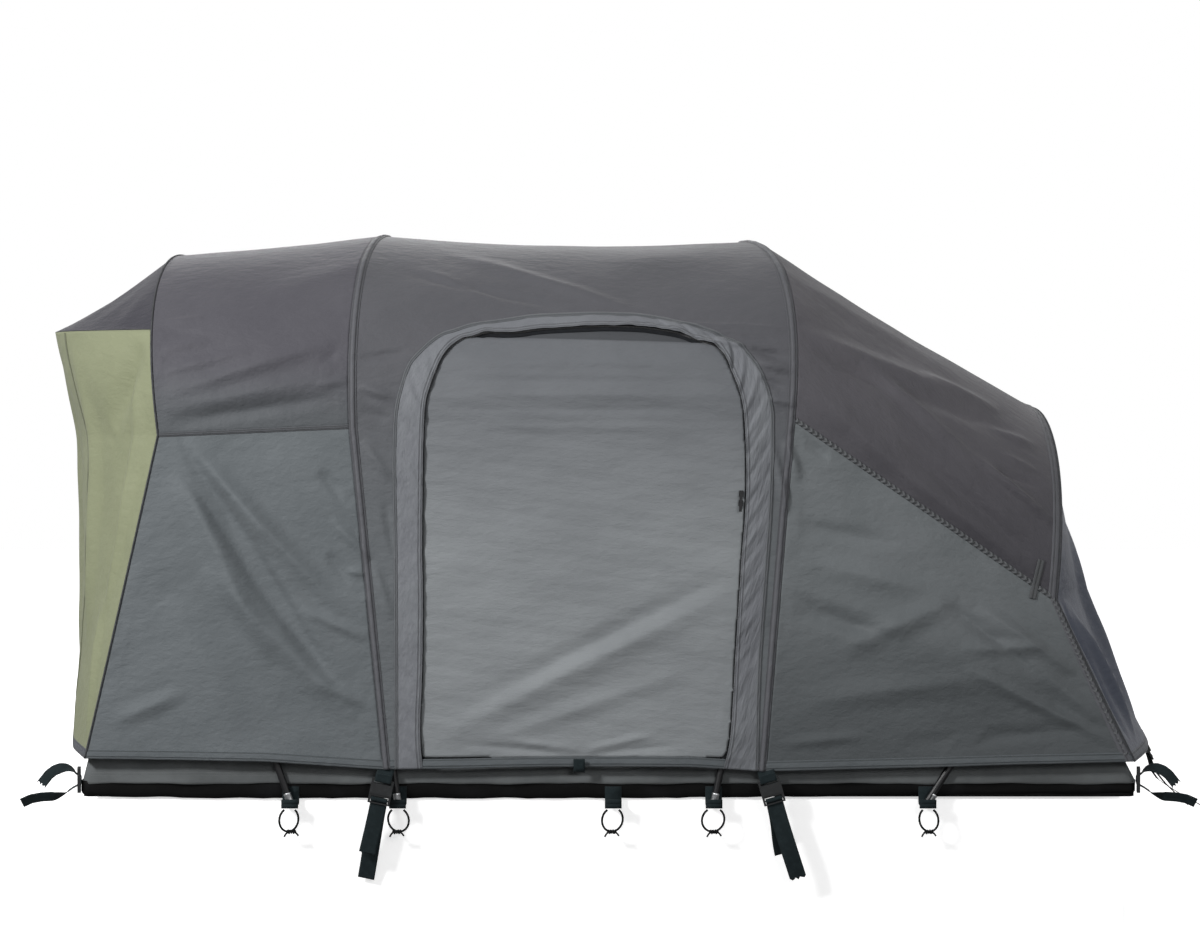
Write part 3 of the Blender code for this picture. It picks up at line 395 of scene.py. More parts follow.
# Rows of the wall, inner floor to underside: inset, height, share of the slack, share of the lift
rings = []
for inset, height, loose, raised in (
    (TUB_WALL, TUB_FLOOR, 0.0, 0.0),
    (TUB_WALL, TUB_HEIGHT - 0.001, 0.0, 0.0),
    (TUB_WALL - 0.001, TUB_HEIGHT, 0.0, 0.0),
    (0.001, TUB_HEIGHT, 0.2, 0.0),
    (0.0, TUB_HEIGHT - 0.001, 0.3, 0.0),
    (0.0, TUB_HEIGHT * 0.8, 1.0, 0.1),
    (0.0, TUB_HEIGHT * 0.55, 1.4, 0.3),
    (0.0, TUB_HEIGHT * 0.3, 1.2, 0.7),
    (0.0008, 0.006, 0.8, 0.9),
    (0.003, 0.002, 0.4, 1.0),
    (0.008, 0.0004, 0.2, 0.9),
    (0.060, 0.0, 0.0, 0.2),
    (0.200, 0.0, 0.0, 0.0),
):
    reach = np.maximum(TUB_CORNER - inset + np.minimum(slack * loose, 0.0015), 0)
    inward = np.maximum(inset - TUB_CORNER, 0)
    spot = middle * (1 - inward / TUB_HALF) + out * reach[:, None]
    rings.append(np.column_stack([spot, height + lift * raised]))
rings = np.array(rings)
shape = cloth_shape(np.concatenate([rings, rings[:, :1]], axis=1))
bmesh.ops.remove_doubles(shape, verts=shape.verts, dist=0.00001)
rims = [edge for edge in shape.edges if edge.is_boundary]
inner = [edge for edge in rims if edge.verts[0].co.z > TUB_FLOOR / 2]
outer = [edge for edge in rims if edge.verts[0].co.z < TUB_FLOOR / 2]
bmesh.ops.contextual_create(shape, geom=inner)
bmesh.ops.contextual_create(shape, geom=outer)
bmesh.ops.recalc_face_normals(shape, faces=shape.faces)
tub = add_mesh("tub", shape, tub_finish.material)
tub.data.set_sharp_from_angle(angle=math.radians(TUB_SHARP))
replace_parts(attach(tub, "tent"), "tub_floor")


# Pole-foot tabs: doubled webbing sewn to the tub's long walls, carried out under the poles' feet
# and turned up in front of them. Two rows of stitching hold each one.
TAB_XS = (-0.722, -0.478, 0.238, 0.722, 0.010)
TAB_WIDTH = 0.038
TAB_FACE = 0.677
TAB_THICKNESS = 0.003
SIDES = (("near", -1), ("far", 1))


def webbing(name, colour, dark):
    """Woven strap: a herringbone of ribs along it, firm edges, and dust in the weave."""
    made = Finish(name)
    across, along, sheet = made.cloth_map()
    ribs = (across * (2 * math.pi / 0.0026)).sine()
    picks = ((along + ribs * 0.0004) * (2 * math.pi / 0.0016)).sine()
    dust = made.noise(sheet, 60.0, 4.0, 0.6)
    made.set(
        base_color=made.mix(dust.ramp(0.35, 0.8), dark, colour),
        roughness=0.62 + 0.2 * dust,
        sheen_weight=0.06,
        sheen_roughness=0.5,
        specular_ior_level=0.14,
        normal=made.bump(ribs * 0.00012 + picks * 0.0001, 1.0),
    )
    return made.material


def thicken(made, thickness, offset=-1.0, even=True):
    body = made.modifiers.new("Cloth", "SOLIDIFY")
    body.thickness = thickness
    body.offset = offset
    body.use_even_offset = even


WEBBING = webbing("black webbing", (0.015, 0.024, 0.027), (0.007, 0.013, 0.015))

shape = bmesh.new()
wall = BASE_WIDTH / 2 + TAB_THICKNESS / 2
lip = TAB_FACE - TAB_THICKNESS / 2
shelf = (
    (wall, 0.030), (wall, 0.015), (wall, -0.003), (wall + 0.003, -0.008), (lip - 0.004, -0.0085),
    (lip - 0.001, -0.007), (lip, -0.003), (lip, 0.0035),
)
cord_eye = ((lip, -0.0165), (lip, -0.0105), (lip, -0.007))
for x in TAB_XS:
    for _, side in SIDES:
        for line in (shelf, cord_eye):
            rows = [[(x + s * TAB_WIDTH / 2, side * y, z) for s in (-1, 0, 1)] for y, z in line]
            lay_cloth(shape, np.array(rows))
bmesh.ops.recalc_face_normals(shape, faces=shape.faces)
tabs = add_mesh("pole_foot_tabs", shape, WEBBING)
thicken(tabs, TAB_THICKNESS * 0.8, 0.0)
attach(tabs, "tent")


# Cord loops: 13 cm of thin braided cord through each tab's lip, its ends tied in a knot that hangs
# lowest, with two short tails. Each hangs a little differently.
CORD_DIAMETER = 0.0050
LOOP_RADIUS = 0.027
LOOP_MOUTH = 0.030
LOOP_STEPS = 19
LOOP_TOP = -0.0183
KNOT_LENGTH = 0.015
KNOT_RADIUS = 0.0036
KNOT_TURNS = 3

braid = Finish("braided cord")
where = braid.places()
strands = braid.node(
    "ShaderNodeTexWave", {"bands_direction": "DIAGONAL"}, {"Vector": where, "Scale": 260.0}
)
fleck = braid.noise(where, 420.0, 2.0).ramp(0.64, 0.67)
braid.set(
    base_color=braid.mix(fleck, (0.004, 0.005, 0.005), (0.09, 0.095, 0.10)),
    roughness=0.75,
    specular_ior_level=0.15,
    normal=braid.bump(strands, 0.0003),
)


def cord_along(name, points, diameter, material):
    """A round cord on a smooth curve through points."""
    data = bpy.data.curves.new(name, "CURVE")
    data.dimensions = "3D"
    data.bevel_depth = diameter / 2
    data.bevel_resolution = 4
    data.use_fill_caps = True
    line = data.splines.new("POLY")
    line.points.add(len(points) - 1)
    for spot, point in zip(line.points, points):
        spot.co = (*point, 1)
    data.materials.append(material)
    made = bpy.data.objects.new(name, data)
    bpy.context.scene.collection.objects.link(made)
    return made


mouth = math.asin(LOOP_MOUTH / 2 / LOOP_RADIUS)
loop_top = LOOP_TOP - CORD_DIAMETER / 2 * math.sin(mouth)
for number, x in enumerate(TAB_XS):
    for side_name, side in SIDES:
        y = side * (TAB_FACE - TAB_THICKNESS / 2)
        centre = Vector((x, y, loop_top - LOOP_RADIUS * math.cos(mouth)))
        turns = between(mouth, 2 * math.pi - mouth, LOOP_STEPS)
        squeeze, swing = 0.80 + 0.07 * (number % 3), 0.004 * (number % 2) - 0.002
        points = [
            centre + LOOP_RADIUS * Vector((squeeze * math.sin(a), 0, math.cos(a)))
            + Vector((swing * (1 - math.cos(a)), 0, 0))
            for a in turns
        ]
        label = f"{side_name}_{number + 1}"
        loop = cord_along(f"loop_{label}", points, CORD_DIAMETER, braid.material)
        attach(loop, "tent")
        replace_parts(loop, f"cord_loop_{label}")
        # An overhand knot: three wraps round the cord, then the two tails
        lean = math.pi + (number * 37 % 50 - 25) * math.pi / 180 * 0.3
        at = centre + LOOP_RADIUS * Vector((math.sin(lean), 0, math.cos(lean)))
        wraps = []
        for turn in between(-0.2, 1.2, 30):
            angle = turn * KNOT_TURNS * 2 * math.pi
            wide = KNOT_RADIUS + 0.0005 * math.sin(angle * 0.5)
            wraps.append(at + Vector((
                (turn - 0.5) * KNOT_LENGTH, wide * math.sin(angle), wide * math.cos(angle) - 0.0004
            )))
        first, last = (
            [at + Vector((way * (0.007 + 0.009 * s), -0.001 * s, -0.002 - drop * s * s))
             for s in between(0, 1, 6)]
            for way, drop in ((-1, 0.010), (1, 0.008))
        )
        path = [*reversed(first), *wraps, *last]
        knot = cord_along(f"knot_{label}", path, CORD_DIAMETER * 0.8, braid.material)
        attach(knot, "tent")


# Inner tent: one shell of thin dark breathable cloth that stands on the tub's rim. It hangs a little
# inside the fly, and is sewn to the outside of the tub with a double row of stitches.
# A hoop stands at its x values from hem to ridge, with its shoulder and its crown at two heights.
HEAD_HOOP = dict(hem=-1.185, shoulder=-1.027, crown=-1.060, ridge=-1.057, low=0.826, high=1.263)
LEFT_HOOP = dict(hem=-0.510, shoulder=-0.592, crown=-0.590, ridge=-0.556, low=0.845, high=1.311)
RIGHT_HOOP = dict(hem=0.355, shoulder=0.424, crown=0.420, ridge=0.340, low=0.862, high=1.297)
FOOT_HOOP = dict(hem=1.190, shoulder=1.022, crown=1.050, ridge=1.055, low=0.450, high=0.885)
ARCH_POWER = 2.2
WALL_LEAN = 0.066
SHOULDER = 0.5
RIDGE_SAGS = (0.004, 0.018, 0.010)
INNER_SETBACK = 0.014
INNER_HEM_X = 1.178
INNER_THICKNESS = 0.001
INNER_LAP = 0.0055
INNER = (0.648, 0.0443, 0.036)
# The doorway's lower left and upper right corners, and the radius of its two upper ones
INNER_DOOR = ((-0.380, 0.075), (0.230, 0.780), 0.120)
INNER_DOOR_GAP = 0.0009


def hoop_line(hoop, skin, t):
    """Points of a hoop line: t is 0 at the near bottom, 0.5 at the shoulder, 1 at the ridge and 2 at
    the far bottom. A skin is its half width, the height it starts at and its drop under the fly."""
    half_width, base, drop = skin
    t = np.asarray(t, float)
    side = np.where(t <= 1, -1.0, 1.0)
    t = np.minimum(t, 2 - t)
    leg = np.minimum(t / SHOULDER, 1)
    part = np.clip((t - SHOULDER) / (1 - SHOULDER), 0, 1)
    turn = part * math.pi / 2
    low, high = hoop["low"] - drop, hoop["high"] - drop
    bent = np.maximum(np.cos(turn), 0) ** (2 / ARCH_POWER)
    y = np.where(part > 0, (half_width - WALL_LEAN) * bent, half_width - WALL_LEAN * leg)
    z = base + (low - base) * leg + (high - low) * np.sin(turn) ** (2 / ARCH_POWER)
    pull = 2 * hoop["crown"] - (hoop["shoulder"] + hoop["ridge"]) / 2
    ends = (1 - part) ** 2 * hoop["shoulder"] + part**2 * hoop["ridge"]
    on_leg = hoop["hem"] + (hoop["shoulder"] - hoop["hem"]) * leg
    x = np.where(part > 0, ends + 2 * part * (1 - part) * pull, on_leg)
    return np.stack([x, side * y, z], axis=-1)


def bay_sheet(hoops, bay, skin, u, t):
    """Points of the cloth stretched between a hoop and the next, sagging along the ridge."""
    u, t = np.broadcast_arrays(np.asarray(u, float), np.asarray(t, float))
    left, right = hoop_line(hoops[bay], skin, t), hoop_line(hoops[bay + 1], skin, t)
    points = left + (right - left) * u[..., None]
    part = np.clip((np.minimum(t, 2 - t) - SHOULDER) / (1 - SHOULDER), 0, 1)
    points[..., 2] -= RIDGE_SAGS[bay] * np.sin(math.pi * u) * np.sin(part * math.pi / 2)
    return points


def bay_place(hoops, bay, skin, x, z):
    """u and t of the near side's points at (x, z)."""
    left, right = hoops[bay], hoops[bay + 1]
    base, drop = skin[1:]
    x, z = np.broadcast_arrays(np.asarray(x, float), np.asarray(z, float))
    u, part = np.full(x.shape, 0.5), np.zeros(x.shape)
    for _ in range(16):
        low = left["low"] + (right["low"] - left["low"]) * u - drop
        high = left["high"] + (right["high"] - left["high"]) * u - drop
        sagged = z + RIDGE_SAGS[bay] * np.sin(math.pi * u) * np.sin(part * math.pi / 2)
        rise = np.clip((sagged - low) / (high - low), 0, 1)
        part = np.arcsin(rise ** (ARCH_POWER / 2)) / (math.pi / 2)
        t = np.where(z < low, SHOULDER * (z - base) / (low - base), SHOULDER + (1 - SHOULDER) * part)
        a, b = hoop_line(left, skin, t)[..., 0], hoop_line(right, skin, t)[..., 0]
        u = (x - a) / (b - a)
    return u, t


def line_of(points, steps):
    """Points spread evenly along a line of given ones."""
    points = np.array(points, float)
    run = length_of(points)
    spread = between(0, run[-1], steps)
    return np.column_stack([np.interp(spread, run, column) for column in points.T])


def trim(shape, outline, inside):
    """Cuts the near side of a sheet along an outline of (x, z) points, and keeps its inside or its
    outside, with the new rim drawn onto the outline."""
    outline = np.array(outline, float)
    loop = np.concatenate([outline, outline[:1]])
    faces = [face for face in shape.faces if face.calc_center_median().y < 0]
    centres = np.array([(face.calc_center_median().x, face.calc_center_median().z) for face in faces])
    within = np.zeros(len(faces), bool)
    for (x0, z0), (x1, z1) in zip(loop, loop[1:]):
        if z0 == z1:
            continue
        crosses = (z0 > centres[:, 1]) != (z1 > centres[:, 1])
        at = x0 + (centres[:, 1] - z0) * (x1 - x0) / (z1 - z0)
        within ^= crosses & (centres[:, 0] < at)
    gone = [face for face, is_in in zip(faces, within) if is_in != inside]
    rim = {vert for face in gone for vert in face.verts}
    bmesh.ops.delete(shape, geom=gone, context="FACES")
    rim = [vert for vert in rim if vert.is_valid]
    fine = line_of(loop, 1600)
    tree = kdtree.KDTree(len(fine))
    for number, (x, z) in enumerate(fine):
        tree.insert((x, 0, z), number)
    tree.balance()
    shape.normal_update()
    for vert in rim:
        at, _, far = tree.find((vert.co.x, 0, vert.co.z))
        if far < 0.02 and abs(vert.normal.y) > 0.1:
            move = Vector((at.x - vert.co.x, 0, at.z - vert.co.z))
            move.y = -(vert.normal.x * move.x + vert.normal.z * move.z) / vert.normal.y
            vert.co += move


def declare_cloth(cut):
    """Takes the two diagonals of each square of a piece's cut points, before they were folded,
    and does no more with them."""
    a = cut[1:, 1:] - cut[:-1, :-1]
    b = cut[1:, :-1] - cut[:-1, 1:]


def add_sheet(name, shape, material, thickness, node, cut,
              body="tent", even=True):
    """A piece of cloth with its thickness, its body and the CAD node that it stands for, if
    any."""
    made = add_mesh(name, shape, material)
    thicken(made, thickness, even=even)
    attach(made, body)
    if node:
        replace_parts(made, node)
    declare_cloth(cut)


INNER_HOOPS = [HEAD_HOOP, LEFT_HOOP, RIGHT_HOOP, FOOT_HOOP]
for number, outward in ((0, -1), (3, 1)):
    hoop = dict(INNER_HOOPS[number], hem=outward * INNER_HEM_X)
    for key in ("shoulder", "crown", "ridge"):
        hoop[key] -= outward * INNER_SETBACK
    INNER_HOOPS[number] = hoop

mesh_cloth = Finish("dark inner tent cloth")
across, along, sheet = mesh_cloth.cloth_map()
broad = mesh_cloth.noise(mesh_cloth.places(), 5.0, 4.0, 0.6)
small = mesh_cloth.noise(mesh_cloth.places(), 38.0, 4.0, 0.6)
row = abs(along - 0.012).within(abs(along - 0.018))
thread = (1 - row.ramp(0.0004, 0.0012)) * across.repeat(0.005).below(0.6)
shade = mesh_cloth.mix(broad.ramp(0.3, 0.75), (0.082, 0.088, 0.090), (0.132, 0.142, 0.145))
mesh_cloth.set(
    base_color=mesh_cloth.mix(thread * 0.5, shade, (0.12, 0.125, 0.125)),
    roughness=0.78 + 0.1 * small,
    sheen_weight=0.2,
    specular_ior_level=0.2,
    normal=mesh_cloth.bump(small * 0.002 + broad * 0.006 - thread * 0.0004, 1.0),
)

t = np.concatenate([[-0.02, -0.008], between(0, SHOULDER, 22)[:-1], between(SHOULDER, 1, 22)])
t = np.concatenate([t, 2 - t[-2::-1]])
columns = []
for bay, steps in ((0, 26), (1, 48), (2, 34)):
    us = between(0, 1, steps)[(1 if bay else 0):]
    columns.append(bay_sheet(INNER_HOOPS, bay, INNER, us[None, :], np.clip(t, 0, 2)[:, None]))
inner_cut = np.concatenate(columns, axis=1)
inner_points = inner_cut.copy()
edge = np.clip(1 - np.minimum(t, 2 - t) / 0.05, 0, 1)[:, None]
x = inner_points[..., 0]
outward = np.sign(inner_points[..., 1])
# The lowest rows lap over the outside of the tub's rim
inner_points[..., 1] += outward * edge * INNER_LAP
below = np.clip(-np.minimum(t, 2 - t), 0, 1)[:, None]
inner_points[..., 2] -= below / 0.02 * (0.008 + wave(x, (0.0012, 0.33, 0.2), (0.0008, 0.12, 1.0)))
ripple = wave(x + inner_points[..., 2] * 0.4, (0.0014, 0.21, 0.3), (0.0008, 0.083, 2.0))
inner_points[..., 1] -= outward * ripple * (1 - edge)
shape = cloth_shape(inner_points, inner_cut)
for outward, at in ((-1, 0), (1, -1)):
    half_rows = len(t) // 2 + 1
    edge_line = inner_points[:half_rows, at]
    s = np.concatenate([[1, 0.985, 0.955], between(0.9, -0.9, 24), [-0.955, -0.985, -1]])
    near = np.minimum((1 - np.abs(s)) * (BASE_WIDTH / 2) / TUB_CORNER, 1)
    rise = np.clip(t[:half_rows], 0, 1)
    out = TUB_CORNER * np.sqrt(1 - (1 - near[None, :]) ** 2) * (1 - rise[:, None])
    wall = np.stack([
        edge_line[:, None, 0] + outward * out,
        edge_line[:, None, 1] * s[None, :],
        np.repeat(edge_line[:, None, 2], len(s), axis=1),
    ], axis=-1)
    lay_cloth(shape, wall)
bmesh.ops.remove_doubles(shape, verts=shape.verts, dist=0.0002)
bmesh.ops.recalc_face_normals(shape, faces=shape.faces)
(left, sill), (right, top), corner = INNER_DOOR
door_hole = [
    (left, sill),
    *((left + corner * (1 - math.cos(a)), top - corner * (1 - math.sin(a)))
      for a in between(0, math.pi / 2, 8)),
    *((right - corner * (1 - math.cos(a)), top - corner * (1 - math.sin(a)))
      for a in between(math.pi / 2, 0, 8)),
    (right, sill),
]
trim(shape, door_hole, inside=False)
add_sheet(
    "inner_tent_shell", shape, mesh_cloth.material, INNER_THICKNESS, "inner_tent",
    inner_cut,
)

# Its door: a panel of the same cloth, hinged on its left edge
x, z = np.meshgrid(between(left + 0.001, right - 0.001, 70), between(sill + 0.001, top - 0.001, 80))
u, t = bay_place(INNER_HOOPS, 1, INNER, x, z)
cut = bay_sheet(INNER_HOOPS, 1, INNER, u, t)
points = cut.copy()
points[..., 1] -= np.clip(wave(x * 0.6 + z, (0.001, 0.31, 0.3), (0.0006, 0.09, 1.2)), 0, 1)
shape = cloth_shape(points, cut)
middle = ((left + right) / 2, (sill + top) / 2)
shrunk = np.array(door_hole) - np.copysign(INNER_DOOR_GAP, np.array(door_hole) - middle)
trim(shape, shrunk, inside=True)
add_sheet(
    "inner_door_panel", shape, mesh_cloth.material, INNER_THICKNESS, "inner_door",
    cut, body="inner_door",
)


# Hoop poles: black anodised aluminium tubes with a soft satin finish, rubbed grey in places. The CAD
# tubes have the right shape, and only get their finish here.
pole_finish = Finish("black anodised tube")
where = pole_finish.places()
drawn = pole_finish.noise(pole_finish.stretch(where, (90.0, 90.0, 6.0)), 4.0, 3.0)
worn = pole_finish.noise(where, 24.0, 5.0, 0.7).ramp(0.64, 0.72)
pole_finish.set(
    base_color=pole_finish.mix(worn, (0.008, 0.008, 0.009), (0.04, 0.04, 0.042)),
    metallic=0.10 + 0.3 * worn,
    roughness=0.34 + 0.18 * drawn,
    specular_ior_level=0.3,
    normal=pole_finish.bump(drawn, 0.00006),
)


def refinish(material, *names):
    """Gives CAD nodes whose shape is right a better finish."""
    for name in names:
        for slot in frame["nodes"][name].material_slots:
            slot.material = material


refinish(pole_finish.material, "pole_head", "pole_door_left", "pole_door_right", "pole_foot", "pole_brow")


# Fly sheet: coated polyester panels over the hoops, pulled into long folds between its corners and
# into short puckers where it is sewn. It stands clear of the tub all round.
FLY = (0.676, 0.078, 0.0)
HOOPS = [HEAD_HOOP, LEFT_HOOP, RIGHT_HOOP, FOOT_HOOP]
FLY_THICKNESS = 0.0012
FOLD_DEPTH = 2.7
# How far the hem rises or dips along the tent: it is drawn up to the corners and down to the straps
HEM_LINE = (
    (-1.207, 0.0189), (-1.040, 0.0166), (-0.777, 0.0121), (-0.644, 0.0031), (-0.513, -0.0059),
    (-0.335, -0.0036), (-0.155, 0.0000), (-0.067, 0.0005), (0.048, 0.0009), (0.183, 0.0000),
    (0.318, -0.0081), (0.349, -0.0104), (0.430, -0.0081), (0.707, -0.0014), (0.924, 0.0054),
    (1.200, 0.0121), (1.330, 0.0121),
)
# Folds: from (x, z) to (x, z), half the fold's width, and its height before FOLD_DEPTH makes it
# deeper, below 0 for a valley
HEAD_WALL_FOLDS = (
    ((-1.000, 0.820), (-0.62, 0.28), 0.050, -0.0120),
    ((-0.990, 0.780), (-0.76, 0.30), 0.050, 0.0080),
    ((-0.970, 0.815), (-0.60, 0.42), 0.044, 0.0100),
    ((-0.863, 0.685), (-0.612, 0.275), 0.050, 0.0070),
    ((-0.92, 0.531), (-0.577, 0.183), 0.057, 0.0085),
    ((-0.836, 0.545), (-0.596, 0.23), 0.030, -0.0050),
    ((-0.659, 0.748), (-0.586, 0.667), 0.026, -0.0040),
    ((-0.641, 0.558), (-0.552, 0.461), 0.024, -0.0050),
    ((-0.609, 0.518), (-0.55, 0.515), 0.014, 0.0040),
    ((-1.125, 0.163), (-0.957, 0.237), 0.034, 0.0040),
    ((-0.67, 0.275), (-0.546, 0.217), 0.026, 0.0040),
    ((-1.005, 0.455), (-0.809, 0.13), 0.080, 0.0050),
    ((-0.699, 0.432), (-0.54, 0.365), 0.022, 0.0040),
    ((-0.633, 0.635), (-0.537, 0.545), 0.020, 0.0040),
)
HEAD_ROOF_FOLDS = (
    ((-1.022, 0.884), (-0.625, 0.957), 0.036, 0.0040),
    ((-1.023, 0.914), (-0.605, 1.049), 0.034, 0.0045),
    ((-1.011, 0.853), (-0.599, 0.916), 0.028, -0.0040),
    ((-1.02, 0.971), (-0.821, 1.017), 0.022, 0.0035),
    ((-1.032, 1.022), (-0.915, 1.045), 0.016, 0.0030),
    ((-1.037, 1.054), (-0.94, 1.068), 0.014, -0.0025),
    ((-1.032, 1.087), (-0.931, 1.096), 0.013, 0.0025),
    ((-0.833, 1.139), (-0.531, 1.234), 0.060, 0.0030),
    ((-0.66, 0.999), (-0.592, 1.017), 0.014, -0.0030),
    ((-0.668, 0.939), (-0.59, 0.953), 0.016, 0.0030),
)
DOOR_BAY_FOLDS = (
    ((-0.404, 1.261), (0.114, 1.098), 0.024, 0.0045),
    ((-0.493, 1.205), (-0.103, 1.12), 0.018, -0.0045),
    ((-0.445, 1.213), (-0.252, 1.139), 0.016, 0.0035),
    ((-0.572, 0.941), (-0.485, 0.909), 0.018, 0.0045),
    ((-0.576, 0.889), (-0.494, 0.862), 0.016, -0.0035),
    ((-0.587, 0.999), (-0.45, 1.017), 0.016, -0.0035),
    ((0.114, 1.084), (0.431, 1.068), 0.010, 0.0028),
    ((0.136, 1.061), (0.43, 1.045), 0.009, -0.0028),
    ((0.209, 1.038), (0.434, 1.022), 0.010, 0.0030),
    ((0.328, 1.024), (0.414, 0.999), 0.014, -0.0045),
    ((0.337, 0.994), (0.421, 0.971), 0.014, 0.0055),
    ((0.345, 0.957), (0.422, 0.925), 0.014, -0.0050),
    ((0.363, 0.912), (0.426, 0.896), 0.013, 0.0045),
    ((0.371, 0.816), (0.411, 0.635), 0.015, 0.0045),
    ((0.377, 0.59), (0.369, 0.365), 0.014, -0.0030),
    ((-0.511, 0.68), (-0.485, 0.545), 0.016, -0.0030),
    ((-0.562, 0.816), (-0.497, 0.725), 0.020, 0.0035),
    ((-0.537, 0.545), (-0.491, 0.41), 0.018, 0.0030),
    ((-0.02, 1.234), (0.314, 1.244), 0.060, 0.0035),
)
FOOT_ROOF_FOLDS = (
    ((0.582, 1.001), (0.855, 0.753), 0.026, 0.0060),
    ((0.833, 0.782), (1.022, 0.621), 0.018, 0.0065),
    ((0.435, 1.068), (0.846, 0.9), 0.036, 0.0060),
    ((0.472, 1.022), (0.664, 0.919), 0.024, -0.0055),
    ((0.726, 0.964), (0.925, 0.873), 0.024, 0.0055),
    ((0.664, 0.941), (0.959, 0.816), 0.028, -0.0050),
    ((0.845, 0.862), (1.004, 0.793), 0.016, 0.0035),
    ((0.908, 0.782), (0.992, 0.737), 0.012, 0.0030),
    ((0.89, 0.748), (0.998, 0.703), 0.012, -0.0030),
    ((0.436, 0.953), (0.662, 0.748), 0.048, 0.0035),
    ((0.36, 1.234), (0.892, 0.925), 0.028, 0.0030),
    ((0.663, 0.816), (0.978, 0.545), 0.032, -0.0045),
    ((0.549, 0.839), (0.955, 0.522), 0.040, 0.0040),
)
FOOT_WALL_FOLDS = (
    ((0.46, 0.46), (1.02, 0.24), 0.170, 0.0110),
    ((0.39, 0.455), (0.658, 0.365), 0.042, -0.0070),
    ((0.433, 0.545), (0.795, 0.455), 0.050, 0.0050),
    ((0.377, 0.635), (0.661, 0.578), 0.032, -0.0035),
    ((0.523, 0.342), (0.795, 0.455), 0.046, 0.0060),
    ((0.66, 0.130), (1.130, 0.160), 0.030, -0.0030),
    ((0.431, 0.23), (0.883, 0.275), 0.050, 0.0040),
    ((0.80, 0.300), (1.150, 0.120), 0.026, 0.0050),
    ((0.836, 0.441), (1.06, 0.28), 0.030, 0.0065),
    ((0.75, 0.455), (1.019, 0.253), 0.030, -0.0055),
    ((0.885, 0.365), (1.13, 0.163), 0.036, 0.0055),
    ((0.794, 0.342), (0.997, 0.342), 0.028, 0.0045),
    ((0.386, 0.137), (0.589, 0.152), 0.020, 0.0030),
    ((0.401, 0.816), (0.435, 0.725), 0.022, 0.0060),
    ((0.413, 0.839), (0.503, 0.771), 0.019, -0.0050),
)
NEAR_FOLDS = HEAD_WALL_FOLDS + HEAD_ROOF_FOLDS + DOOR_BAY_FOLDS + FOOT_ROOF_FOLDS + FOOT_WALL_FOLDS
FAR_FOLDS = HEAD_WALL_FOLDS + HEAD_ROOF_FOLDS + FOOT_ROOF_FOLDS + FOOT_WALL_FOLDS + (
    ((-0.46, 0.74), (0.05, 0.28), 0.055, 0.0080),
    ((-0.30, 0.80), (0.26, 0.36), 0.045, -0.0060),
    ((0.30, 0.70), (-0.20, 0.16), 0.050, 0.0050),
)


def fold_height(x, z, folds):
    """How far folds lift the cloth at (x, z). Each is rounded across and dies away at both ends."""
    height = np.zeros(np.shape(x))
    for (x0, z0), (x1, z1), half_width, lift in folds:
        dx, dz = x1 - x0, z1 - z0
        length = math.hypot(dx, dz)
        along = ((x - x0) * dx + (z - z0) * dz) / length**2
        off = np.abs((x - x0) * dz - (z - z0) * dx) / length / half_width
        off = np.clip(off, 0, 1)
        soft = 0.45 * np.cos(off * math.pi / 2) ** 2
        sharp = 0.55 * (1 - np.sqrt(off**2 + 0.01)) ** 2 * (1 - off**2)
        ends = np.sin(math.pi * np.clip(along, 0, 1)) ** 0.9
        height += FOLD_DEPTH * lift * (soft + sharp) * ends
    return height


# The poles' legs behind the walls, from (x, z) to (x, z). Cloth this near to one hardly sinks in, and
# further off it can sink so much more.
POLE_ROOM = 0.024
LEAST_SINK = 0.0006
MORE_SINK = 0.0134
POLE_LEGS = (
    ((-0.722, 0.0), (-1.013, 0.826)), ((-0.478, 0.0), (-0.592, 0.845)),
    ((0.238, 0.0), (0.419, 0.862)), ((0.722, 0.0), (1.008, 0.450)),
)


def fly_folds(bay, u, t, points):
    """How far the fly stands off its smooth shape: the placed folds and a slight unevenness."""
    x, z = points[..., 0], points[..., 2]
    near = fold_height(x, z, NEAR_FOLDS)
    far = fold_height(-0.1 - x if bay == 1 else x, z, FAR_FOLDS)
    height = np.where(np.asarray(t) <= 1, near, far)
    height += wave(x + 0.5 * z, (0.0012, 0.41, 0.0), (0.0006, 0.17, 1.0))
    height += wave(z - 0.4 * x, (0.0010, 0.33, 2.0), (0.0005, 0.13, 0.3))
    part = np.clip((np.minimum(t, 2 - t) - SHOULDER) / (1 - SHOULDER), 0, 1)
    height *= 1 - part**6
    # Valleys stop short of the poles and of the inner tent
    room = np.minimum(np.minimum(u, 1 - u) * (HOOPS[bay + 1]["shoulder"] - HOOPS[bay]["shoulder"]), 0.2)
    for (x0, z0), (x1, z1) in POLE_LEGS:
        dx, dz = x1 - x0, z1 - z0
        along = np.clip(((x - x0) * dx + (z - z0) * dz) / math.hypot(dx, dz) ** 2, 0, 1)
        room = np.minimum(room, np.hypot(x - x0 - along * dx, z - z0 - along * dz))
    deepest = LEAST_SINK + MORE_SINK * np.clip((room - POLE_ROOM) / 0.05, 0, 1)
    height = np.where(height < 0, -deepest * np.tanh(-height / deepest), height)
    if bay == 0:
        height *= np.clip(u / 0.05, 0, 1)
    if bay == 2:
        height *= np.clip((1 - u) / 0.05, 0, 1)
    return height


def unit(ways):
    """The same directions, each with a length of one."""
    return ways / np.linalg.norm(ways, axis=-1, keepdims=True)


